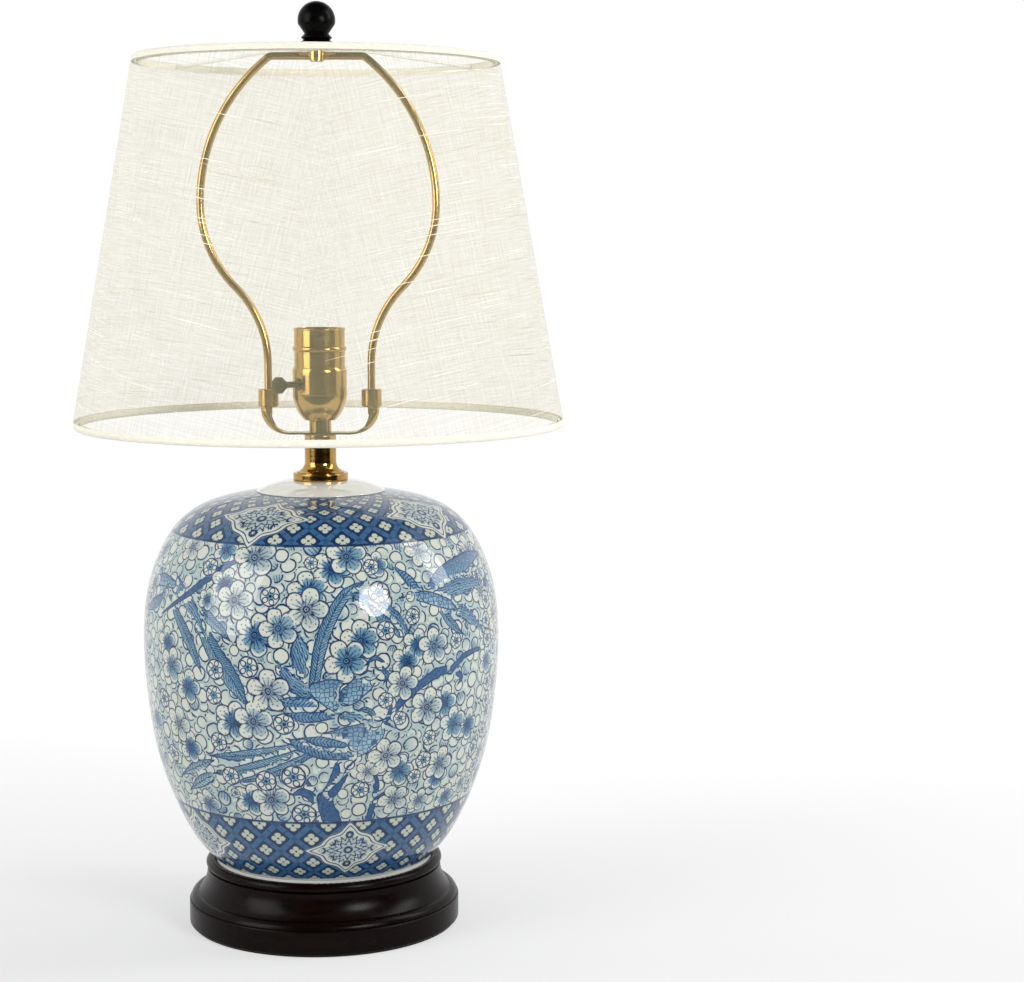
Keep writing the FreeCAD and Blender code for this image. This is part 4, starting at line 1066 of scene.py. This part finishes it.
    def cartouche(self, put: Put, ink: object, place: object) -> tuple[object, object]:
        """The ogee panels that lie over the bands, each with a scrolling flower.

        Args:
            put: Adds a node.
            ink: The line colour.
            place: -1 to 1 each way.

        Returns:
            Its cover and colour.
        """
        x, y = (put("ABSOLUTE", way) for way in put("SeparateXYZ", place).outputs[:2])
        span = put("ADD", x, y)
        lean = put("DIVIDE", put("SUBTRACT", x, y), put("MAXIMUM", span, 0.01))
        swing = put("COSINE", put("MULTIPLY", lean, 2 * math.pi))
        edge = put("SUBTRACT", put("MULTIPLY_ADD", swing, -0.05, span), 0.95)
        broad = put("MULTIPLY", x, 1.3)
        flat, turn = put("CombineXYZ", broad, y), put("ARCTAN2", y, broad)
        reach = put("VectorMath LENGTH", flat)
        petals, leaves = (put("COSINE", put("MULTIPLY", turn, count)) for count in (8.0, 20.0))
        scroll = inked(put, reach, 0.04, 0.1)
        for wave, ripple, radius in ((petals, -0.06, 0.27), (leaves, 0.05, 0.42), (leaves, -0.06, 0.56),
                                     (leaves, 0.05, 0.72)):
            ring = put("MULTIPLY_ADD", wave, ripple, reach)
            scroll = put("MAXIMUM", scroll, inked(put, ring, 0.03, radius))
        for centre, radius in (((0.78, 0.0, 0.0), 0.1), ((0.0, 0.55, 0.0), 0.09), ((0.5, 0.3, 0.0), 0.1)):
            curl = put("VectorMath DISTANCE", flat, centre)
            scroll = put("MAXIMUM", scroll, inked(put, curl, 0.03, radius))
        field = put("MapRange", put("MULTIPLY_ADD", leaves, 0.04, edge), -0.3, -0.26, 1.0, 0.0)
        rims = put("MAXIMUM", inked(put, edge, 0.024, -0.02), inked(put, edge, 0.022, -0.15))
        marks = put("MAXIMUM", rims, put("MULTIPLY", scroll, field))
        return (put("MapRange", edge, -0.01, 0.02, 1.0, 0.0),
                coats(put, self.petal, (put("MULTIPLY", field, 0.45), self.pale), (marks, ink)))

    def group(self, paint: Callable[..., tuple[object, object]], vectors: int) -> bpy.types.NodeTree:
        """Give a painter its node group, which lays its colour over the one beneath.

        Args:
            paint: One of the painters.
            vectors: How many vectors it reads.

        Returns:
            The group, made once.
        """
        tree = bpy.data.node_groups.get(paint.__name__)
        if tree:
            return tree
        tree = bpy.data.node_groups.new(paint.__name__, "ShaderNodeTree")
        for label in [*("Place", "Kind")[:vectors], "Beneath", "Ink"]:
            kind = "Color" if label in ("Beneath", "Ink") else "Vector"
            tree.interface.new_socket(name=label, in_out="INPUT", socket_type="NodeSocket" + kind)
        tree.interface.new_socket(name="Colour", in_out="OUTPUT", socket_type="NodeSocketColor")
        put = partial(add, tree)
        *places, beneath, ink, _ = put("NodeGroupInput").outputs
        put("NodeGroupOutput", coats(put, beneath, paint(put, ink, *places)))
        return tree

    def build(self) -> bpy.types.Material:
        """Make the material: each layer of the painting over the last, then the glaze.

        Returns:
            Painted porcelain that reads the jar's corner attributes.
        """
        material, put, shader = blank_material(self.name)
        place = put("TexCoord").outputs["Object"]
        clouds, tremor = put("TexNoise", place, 34.0, 3.0), put("TexNoise", place, 190.0, 2.0)
        shake = put("VectorMath SUBTRACT", tremor.outputs["Color"], (0.5, 0.5, 0.5))
        ink = put("Mix RGBA", put("MapRange", tremor, 0.42, 0.68, 0.0, 0.75), self.navy, self.cobalt)
        colour = put("Mix RGBA", put("MapRange", clouds, 0.48, 0.68, 0.0, 0.7), self.ground, self.tint)
        for paint, tremble, names in (
                (self.oval, (0.3, 0.3, 0.0), ["pebble"]), (self.stroke, (1.6, 1.6, 0.0), ["under_place", "under_kind"]),
                (self.blossom, (0.12, 0.12, 0.0), ["behind"]), (self.blossom, (0.12, 0.12, 0.0), ["blossom"]),
                (self.bud, (0.2, 0.2, 0.0), ["bud"]), (self.stroke, (1.6, 1.6, 0.0), ["over_place", "over_kind"]),
                (self.lattice, (0.04, 0.04, 0.6), ["lattice"]), (self.cartouche, (0.04, 0.04, 0.04), ["cartouche"])):
            first, *others = (put("Attribute", attribute_name=name).outputs["Vector"] for name in names)
            first = put("VectorMath MULTIPLY_ADD", shake, tremble, first)
            colour = put("Group", first, *others, colour, ink, node_tree=self.group(paint, len(names)))
        low, high = self.foot_line
        foot = put("MapRange", put("SeparateXYZ", place).outputs["Z"], low * MM, high * MM, 1.0, 0.0)
        fill(shader, Roughness=0.5, Specular_IOR_Level=0.15, Coat_Weight=1.0, Coat_Roughness=0.03, Coat_IOR=1.4,
             Base_Color=put("Mix RGBA", foot, colour, self.glaze),
             Coat_Normal=put("Bump", 0.05, 0.4 * MM, None, clouds))
        return material


class Canvas:
    """The jar's mesh, and what each corner of its faces carries for the painting."""

    far: tuple[float, float, float] = (9.0, 9.0, 0.0)
    off_stroke: tuple[float, float, float] = (0.0, 99.0, 0.0)
    nothing_near: float = 9.0
    motif_search: float = 3.0
    motif_reach: float = 2.5
    overlap_mm: float = 0.9
    stroke_search: float = 12.0
    stroke_margin: float = 2.4
    seed_step: float = 0.37
    panel_margin: float = 1.3

    def __init__(self, outline: JarOutline, columns: int, rows: int) -> None:
        """Make the mesh.

        Args:
            outline: The jar's section.
            columns: Faces round the jar.
            rows: Points up its outside.
        """
        self.columns = columns
        profile, self.skin = outline.profile(rows)
        rings = len(profile)
        turn = np.linspace(-math.pi, math.pi, columns + 1)[:-1]
        points = np.empty((rings, columns, 3))
        points[..., 0] = profile[:, :1] * np.sin(turn)
        points[..., 1] = -profile[:, :1] * np.cos(turn)
        points[..., 2] = profile[:, 1:]
        ring, column = np.meshgrid(np.arange(rings), np.arange(columns), indexing="ij")
        above, beside = (ring + 1) % rings, (column + 1) % columns
        quads = np.stack([ring * columns + column, ring * columns + beside,
                          above * columns + beside, above * columns + column], axis=-1)
        self.mesh = bpy.data.meshes.new("painted_jar")
        self.mesh.from_pydata((points.reshape(-1, 3) * MM).tolist(), [], quads.reshape(-1, 4).tolist())
        self.mesh.polygons.foreach_set("use_smooth", [True] * len(self.mesh.polygons))
        self.mesh.set_sharp_from_angle(angle=math.radians(35))
        self.faces = (rings, columns)
        radius, height = profile[:self.skin].T
        arc = np.concatenate([[0], np.cumsum(np.hypot(np.diff(radius), np.diff(height)))])
        self.radius, self.height, self.arc = radius, height, arc
        up = np.stack([np.arange(self.skin - 1)] * 2 + [np.arange(1, self.skin)] * 2, axis=-1)
        self.corner_radius, self.corner_arc = radius[up][:, None, :], arc[up][:, None, :]
        self.step = np.array([-0.5, 0.5, 0.5, -0.5]) * 2 * math.pi / columns
        self.middle_turn = turn[None, :] + math.pi / columns
        self.middle_radius = ((radius[1:] + radius[:-1]) / 2)[:, None]
        self.middle_arc = ((arc[1:] + arc[:-1]) / 2)[:, None]
        self.conformal = np.concatenate([[0], np.cumsum(np.diff(arc) / ((radius[1:] + radius[:-1]) / 2))])
        self.up = up

    def arc_at(self, height: float) -> float:
        """Distance up the outside from the foot to a height."""
        return float(np.interp(height, self.height, self.arc))

    def rows_near(self, low: float, high: float) -> slice:
        """The rows of faces between two distances up the outside."""
        middle = self.middle_arc[:, 0]
        return slice(int(np.searchsorted(middle, low)), int(np.searchsorted(middle, high)))

    def keep(self, name: str, values: np.ndarray) -> None:
        """Store a vector for each corner of the outside's faces.

        Args:
            name: The attribute's name.
            values: Rows, columns, four corners, three numbers.
        """
        full = np.empty((*self.faces, 4, 3), dtype=np.float32)
        full[:] = self.far
        full[:self.skin - 1] = values
        layer = self.mesh.attributes.new(name, "FLOAT_VECTOR", "CORNER")
        layer.data.foreach_set("vector", full.ravel())

    def round_motifs(self, name: str, motifs: Sequence[Motif], stacked: bool = False) -> None:
        """Give each face its place within the nearest round motif, or the last that covers it.

        Args:
            name: The attribute's name.
            motifs: The motifs of one layer.
            stacked: Whether later motifs lie over earlier ones.
        """
        shape = (self.skin - 1, self.columns)
        nearest, which = np.full(shape, self.nothing_near), np.zeros(shape, dtype=int)
        arcs = [self.arc_at(motif.height) for motif in motifs]
        for number, (motif, arc) in enumerate(zip(motifs, arcs)):
            reach = self.motif_search * motif.radius
            near = self.rows_near(arc - reach, arc + reach)
            across = wrapped(self.middle_turn - math.radians(motif.azimuth)) * self.middle_radius[near]
            reach = np.hypot(across, self.middle_arc[near] - arc) / motif.radius
            closer = reach < (1 + self.overlap_mm / motif.radius if stacked else nearest[near])
            nearest[near][closer], which[near][closer] = reach[closer], number
        table = np.array([(math.radians(m.azimuth), a, m.radius, math.radians(m.turn), m.tone)
                          for m, a in zip(motifs, arcs)])[which]
        azimuth, arc, size, turn, tone = np.moveaxis(table, -1, 0)[..., None]
        across = (wrapped(self.middle_turn[..., None] - azimuth) + self.step) * self.corner_radius
        up = self.corner_arc - arc
        cos, sin = np.cos(turn), np.sin(turn)
        place = np.stack(np.broadcast_arrays((across * cos + up * sin) / size, (up * cos - across * sin) / size,
                                             tone), axis=-1)
        place[nearest > self.motif_reach] = self.far
        self.keep(name, place)

    def strokes(self, name: str, strokes: Sequence[Stroke]) -> None:
        """Give each face its place along the last stroke that covers it.

        Args:
            name: Stem of the two attributes: _place is (along, across, half width) in
                millimetres, _kind is (brush, nothing, seed).
            strokes: The strokes of one layer, later ones over earlier ones.
        """
        parts = []
        for number, stroke in enumerate(strokes):
            line = stroke.smooth()
            radius = np.interp(line[:, 1], self.height, self.radius)
            line[:, 1] = np.interp(line[:, 1], self.height, self.arc)
            gaps = np.diff(line, axis=0)
            length = np.hypot(gaps[:, 0] * radius[1:], gaps[:, 1])
            kind = np.tile((stroke.brush.value, 0.0, number * self.seed_step % 1), (len(length), 1))
            parts.append(np.column_stack([line[:-1], gaps, np.cumsum(length) - length, length, kind]))
        chosen = np.full((self.skin - 1, self.columns), -1)
        first = 0
        for part in parts:
            reach = part[:, 2].max() + self.stroke_search
            near = self.rows_near(part[:, 1].min() - reach, part[:, 1].max() + reach)
            row = part[:, None, None, :]
            gap = self.measure(row, self.middle_turn[None], 0.0, self.middle_radius[None, near],
                               self.middle_arc[None, near])[3]
            best = gap.argmin(axis=0)
            least = np.take_along_axis(gap, best[None], 0)[0]
            inside = least < self.stroke_margin
            chosen[near][inside] = first + best[inside]
            first += len(part)
        row = np.vstack(parts)[np.maximum(chosen, 0)][:, :, None, :]
        along, across, half, _ = self.measure(row, self.middle_turn[..., None], self.step,
                                              self.corner_radius, self.corner_arc)
        place = np.stack([along, across, half], axis=-1)
        place[chosen < 0] = self.off_stroke
        self.keep(name + "_place", place)
        self.keep(name + "_kind", np.broadcast_to(row[..., 8:], place.shape))

    @staticmethod
    def measure(row: np.ndarray, turn: np.ndarray, step: np.ndarray | float, radius: np.ndarray,
                arc: np.ndarray) -> tuple[np.ndarray, np.ndarray, np.ndarray, np.ndarray]:
        """Place points against short straight pieces of a stroke.

        Args:
            row: The pieces' numbers on the last axis: azimuth, arc and half width, their changes,
                the length before the piece, and its own.
            turn: The faces' azimuth.
            step: What the points add to it.
            radius: The jar's radius at the points.
            arc: The points' distance up the outside.

        Returns:
            Distance along the stroke, signed distance across it, half width there, and the
            distance outside its edge.
        """
        start, low, half, swing, dy, swell, along, length = np.moveaxis(row[..., :8], -1, 0)
        x = (wrapped(start - turn) - step) * radius
        y = low - arc
        dx = swing * radius
        share = np.clip(-(x * dx + y * dy) / np.maximum(dx * dx + dy * dy, 1e-9), 0, 1)
        away = np.hypot(x + share * dx, y + share * dy)
        side = np.sign(y * dx - x * dy)
        half = half + share * swell
        return along + share * length, away * side, half, away - half

    def lattice(self, cells: int, low: float, high: float) -> None:
        """Store the bands' diamond lattice: two diagonal counts, and how far inside a band.

        Args:
            cells: Diamonds round the jar.
            low: Height of the lower band's upper line, in millimetres.
            high: Height of the upper band's lower line.
        """
        scale = cells / (2 * math.pi)
        across = (self.middle_turn[..., None] + self.step) * scale
        up = self.conformal[self.up][:, None, :] * scale
        depth = np.maximum(self.arc_at(low) - self.corner_arc, self.corner_arc - self.arc_at(high))
        self.keep("lattice", np.stack(np.broadcast_arrays(across + up, across - up, depth), axis=-1))

    def panels(self, centres: Sequence[tuple[float, float, float, float]]) -> None:
        """Store each face's place in the nearest cartouche, as shares of its half sizes.

        Args:
            centres: Azimuth in degrees, height, half width and half height in millimetres.
        """
        shape = (self.skin - 1, self.columns)
        nearest = np.full(shape, self.nothing_near)
        place = np.empty((*shape, 4, 3))
        place[:] = self.far
        for azimuth, height, wide, tall in centres:
            arc = self.arc_at(height)
            offset = wrapped(self.middle_turn - math.radians(azimuth))
            reach = np.maximum(abs(offset * self.middle_radius) / wide, abs(self.middle_arc - arc) / tall)
            closer = (reach < nearest) & (reach < self.panel_margin)
            nearest[closer] = reach[closer]
            across = (offset[..., None] + self.step) * self.corner_radius / wide
            mine = np.stack(np.broadcast_arrays(across, (self.corner_arc - arc) / tall, 1.0), axis=-1)
            place[closer] = mine[closer]
        self.keep("cartouche", place)


@dataclass
class PaintedJar:
    """The porcelain jar with its blue painting: plum blossom, birds, bands and cartouches."""

    outline: JarOutline = JarOutline()
    columns: int = 470
    rows: int = 170
    lower_band: float = 93.8
    upper_band: float = 272.0
    diamonds: int = 28
    panel_height: tuple[float, float] = (287.2, 72.0)
    panel_size: tuple[tuple[float, float], ...] = ((34.0, 26.0), (29.0, 23.5))
    panel_turns: tuple[tuple[float, ...], ...] = ((-22.9, 58.4, 148.0, 238.0), (-53.1, 14.4, 87.0, 159.0, 232.0))
    mean_radius: float = 112.0
    side_spread: float = 22.0
    blossom_tries: int = 400
    blossom_heights: tuple[float, float] = (106.0, 262.0)
    blossom_radii: tuple[float, float] = (11.0, 14.0)
    bud_tries: int = 300
    bud_heights: tuple[float, float] = (104.0, 264.0)
    bud_radii: tuple[float, float] = (5.5, 7.0)
    star_turn: float = 72.0
    petal_tries: int = 12000
    petal_radii: tuple[float, float] = (3.8, 6.6)
    petal_room: float = 0.3
    petal_cover: float = 0.75
    petal_reach: float = 16.0
    seed: int = 11

    def layout(self) -> tuple[list[Motif], list[Motif], list[Motif], list[Stroke], list[Stroke]]:
        """Everything that is painted round the jar: the photo's side, and the same again behind.

        Returns:
            Blossoms, blossoms half hidden, buds, strokes under the blossoms and strokes over them.
        """
        dice, spread = np.random.default_rng(self.seed), self.side_spread
        rounds = []
        for rows, tone in ((BLOSSOMS, 0.42), (BLOSSOMS_BEHIND, 1.0), (BUDS, 0.6)):
            layer = []
            for azimuth, height, radius, *turn in rows:
                for half in (0.0, 180.0):
                    layer.append(Motif(azimuth + half, height, radius, (turn or [0])[0] + half,
                                       tone * dice.uniform(0.7, 1.25)))
            rounds.append(layer)
        blossoms, behind, buds = rounds
        for side in (90.0, 270.0):
            for _ in range(self.blossom_tries):
                made = Motif(side + dice.uniform(-spread, spread), dice.uniform(*self.blossom_heights),
                             dice.uniform(*self.blossom_radii), dice.uniform(0, self.star_turn),
                             dice.uniform(0.2, 0.5))
                if self.free(made, blossoms, 1.75):
                    blossoms.append(made)
            for _ in range(self.bud_tries):
                made = Motif(side + dice.uniform(-spread, spread), dice.uniform(*self.bud_heights),
                             dice.uniform(*self.bud_radii), dice.uniform(0, self.star_turn), 0.6)
                if self.free(made, blossoms, 1.0) and self.free(made, buds, 1.9):
                    buds.append(made)
        under, over = ([Stroke(brush, points).turned(half) for half in (0.0, 180.0) for brush, points in table]
                       for table in (STROKES_UNDER, STROKES_OVER))
        return blossoms, behind, buds, under, over

    def free(self, made: Motif, others: Sequence[Motif], share: float) -> bool:
        """Whether a motif stands clear of others.

        Args:
            made: The new motif.
            others: Those already placed.
            share: Least distance between centres, over the mean of the two radii.

        Returns:
            True where it is clear.
        """
        for other in others:
            turn = float(wrapped(np.array(math.radians(made.azimuth - other.azimuth))))
            apart = math.hypot(turn * self.mean_radius, (made.height - other.height) * 1.1)
            if apart < share * (made.radius + other.radius) / 2:
                return False
        return True

    def filling(self, canvas: Canvas) -> list[Motif]:
        """Round petals, half hidden by each other, that fill all the ground between the motifs.

        Args:
            canvas: The jar's faces.

        Returns:
            The petals, later ones over earlier ones.
        """
        dice = np.random.default_rng(self.seed + 1)
        low, high = canvas.arc_at(self.lower_band), canvas.arc_at(self.upper_band)
        room = np.full((canvas.skin - 1, canvas.columns), 99.0)
        made = []
        for _ in range(self.petal_tries):
            azimuth, arc = dice.uniform(-math.pi, math.pi), dice.uniform(low, high)
            row = int(np.searchsorted(canvas.middle_arc[:, 0], arc))
            column = int((azimuth + math.pi) / (2 * math.pi) * canvas.columns)
            size = dice.uniform(*self.petal_radii)
            if room[row, column] < size * self.petal_room:
                continue
            made.append(Motif(math.degrees(azimuth), float(np.interp(arc, canvas.arc, canvas.height)), size,
                              dice.uniform(0, 360), dice.uniform(0, 1)))
            near = canvas.rows_near(arc - self.petal_reach, arc + self.petal_reach)
            across = wrapped(canvas.middle_turn - azimuth) * canvas.middle_radius[near]
            apart = np.hypot(across, canvas.middle_arc[near] - arc)
            room[near] = np.minimum(room[near], apart - size * self.petal_cover)
        return made

    def build(self) -> bpy.types.Object:
        """Make the jar's mesh, lay the painting out on it and glaze it.

        Returns:
            The jar, in place of the CAD node.
        """
        canvas = Canvas(self.outline, self.columns, self.rows)
        blossoms, behind, buds, under, over = self.layout()
        pebbles = self.filling(canvas)
        for name, layer in (("blossom", blossoms), ("behind", behind), ("bud", buds)):
            canvas.round_motifs(name, layer)
        canvas.round_motifs("pebble", pebbles, stacked=True)
        canvas.strokes("under", under)
        canvas.strokes("over", over)
        canvas.lattice(self.diamonds, self.lower_band, self.upper_band)
        canvas.panels([(turn, height, *size) for turns, height, size in
                       zip(self.panel_turns, self.panel_height, self.panel_size) for turn in turns])
        jar = new_piece("painted_jar", canvas.mesh, PaintedPorcelain().build())
        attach(jar, "lamp_base")
        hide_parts("jar_body")
        log.info("painted_jar: %d blossoms, %d buds, %d ovals, %d strokes, %d faces",
                 len(blossoms) + len(behind), len(buds), len(pebbles), len(under) + len(over),
                 len(canvas.mesh.polygons))
        return jar


# ---------------------------------------------------------------- studio
@dataclass
class Studio:
    """A pale floor before white, soft lamps, and the camera at the photograph's angle."""

    eye: tuple[float, float, float] = (0.1297, -1.528, 0.470)
    pitch: float = 0.113
    lens: float = 79.66
    sensor: float = 36.0
    sky: float = 0.6
    # The floor's colour under its painted glow, as camera and reflections see it, and the colour it has for the light
    # that it bounces.
    floor_seen: str = "#a0a0a0"
    floor_unseen: str = "#dcdcdc"
    floor_start: tuple[float, float, float] = (-3.0, -3.0, 0.0)
    floor_stop: tuple[float, float, float] = (3.0, 1.5, 0.0)
    middle: tuple[float, float, float] = (0.0, 0.0, 0.28)
    velvet: PlainFinish = PlainFinish("black_velvet", "#0c0c0c", "#101010", 0.95, 2.0, 0.1)
    card_half: float = 2.5
    card_back: float = -2.3
    card_front: float = -0.5
    card_top: float = 3.0

    def camera(self) -> None:
        """Add the camera and make it the scene's own."""
        data = bpy.data.cameras.new("camera")
        data.lens, data.sensor_width, data.clip_end = self.lens, self.sensor, 30.0
        made = bpy.data.objects.new("camera", data)
        made.location = self.eye
        made.rotation_euler = (math.pi / 2 - self.pitch, 0.0, 0.0)
        bpy.context.scene.collection.objects.link(made)
        bpy.context.scene.camera = made

    def lamp(self, name: str, place: tuple[float, float, float], size: tuple[float, float], watts: float,
             shape: str = "RECTANGLE") -> None:
        """Add a soft area lamp that faces the object's middle.

        Args:
            name: The lamp's name.
            place: Where it stands, in metres.
            size: Its width and height, in metres.
            watts: Its power.
            shape: RECTANGLE or DISK.
        """
        data = bpy.data.lights.new(name, "AREA")
        data.shape, data.energy = shape, watts
        data.size, data.size_y = size
        made = bpy.data.objects.new(name, data)
        made.location = place
        made.rotation_euler = (Vector(self.middle) - Vector(place)).to_track_quat("-Z", "Y").to_euler()
        bpy.context.scene.collection.objects.link(made)

    @staticmethod
    def seen(put: Put) -> bpy.types.Node:
        """Tell what is looked at from what lights.

        Args:
            put: Adds a node.

        Returns:
            1 for rays from the camera, a reflection or a clear surface, 0 for others.
        """
        rays = put("LightPath").outputs
        seen = put("MAXIMUM", rays["Is Camera Ray"], rays["Is Glossy Ray"])
        return put("MAXIMUM", seen, rays["Is Transmission Ray"])

    def sky_light(self) -> None:
        """White round the object as cameras and reflections see it, softer as it lights."""
        world = bpy.data.worlds.new("studio")
        bpy.context.scene.world = world
        world.use_nodes = True
        world.node_tree.nodes.clear()
        put = partial(add, world.node_tree)
        level = put("MapRange", self.seen(put), 0.0, 1.0, self.sky, 1.0)
        put("OutputWorld", put("Background", "#ffffff", level))

    @staticmethod
    def plane(name: str, start: tuple[float, float, float], stop: tuple[float, float, float],
              material: bpy.types.Material) -> bpy.types.Object:
        """Add one upright or level stage face.

        Args:
            name: Its name.
            start: One corner, in metres.
            stop: The corner opposite.
            material: Its finish.

        Returns:
            The stage piece.
        """
        level = start[2] == stop[2]
        beside = (stop[0], (start if level else stop)[1], start[2])
        above = (start[0], (stop if level else start)[1], stop[2])
        mesh = bpy.data.meshes.new(name)
        mesh.from_pydata([start, beside, stop, above], [], [(0, 1, 2, 3)])
        piece = new_piece(name, mesh, material)
        return piece

    def floor(self) -> None:
        """Lay a pale floor that lifts to white towards the back, as the photo's does."""
        material, put, shader = blank_material("white_paper_sweep")
        place = put("TexCoord").outputs["Object"]
        seen = self.seen(put)
        # Painted light: camera and reflection rays see the floor glow, more towards the back, so it lifts to white and
        # the object's shadow on it stays faint.
        painted_glow = put("MapRange", put("SeparateXYZ", place).outputs["Y"], -0.1, 0.7, 0.5, 0.74)
        fill(shader, Roughness=0.9, Specular_IOR_Level=0.1, Emission_Color="#ffffff",
             Base_Color=put("Mix RGBA", seen, self.floor_unseen, self.floor_seen),
             Emission_Strength=put("MULTIPLY", seen, painted_glow),
             Normal=put("Bump", 0.05, 0.1 * MM, None, put("TexNoise", place, 900.0)))
        self.plane("sweep", self.floor_start, self.floor_stop, material)

    def cards(self) -> None:
        """Dark cards round the camera and over the lamp, for the dark bands in brass and glaze."""
        velvet = self.velvet.build()
        wide, away, near, high = self.card_half, self.card_back, self.card_front, self.card_top
        corners = {"front": ((-wide, away, 0.0), (wide, away, high)),
                   "low": ((-wide, away, 0.004), (wide, near, 0.004)),
                   "above": ((-1.1, -1.4, 1.9), (1.1, 1.1, 1.9)),
                   "left": ((-wide, near, 0.0), (-wide, away, high)),
                   "right": ((wide, away, 0.0), (wide, near, high))}
        for name, (start, stop) in corners.items():
            card = self.plane("dark_card_" + name, start, stop, velvet)
            card.visible_camera = card.visible_shadow = False
            card.visible_diffuse = name not in ("above", "low")

    def build(self) -> None:
        """Set up the whole studio."""
        self.camera()
        self.sky_light()
        self.floor()
        self.cards()
        self.lamp("key", (-1.8, -1.2, 1.0), (1.3, 1.7), 36.0)
        self.lamp("round", (0.9, -1.12, 0.72), (0.5, 0.5), 12.0, shape="DISK")
        self.lamp("side", (1.55, 0.1, 1.25), (0.45, 1.1), 11.0)
        bpy.context.scene.view_settings.view_transform = "Standard"


def main() -> None:
    """Build the lamp's looks and the studio."""
    logging.basicConfig(level=logging.INFO, format="%(message)s")
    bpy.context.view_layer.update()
    Studio().build()
    Hardware().dress_all()
    LampShade().build()
    PaintedJar().build()


if __name__ == "__main__":
    main()
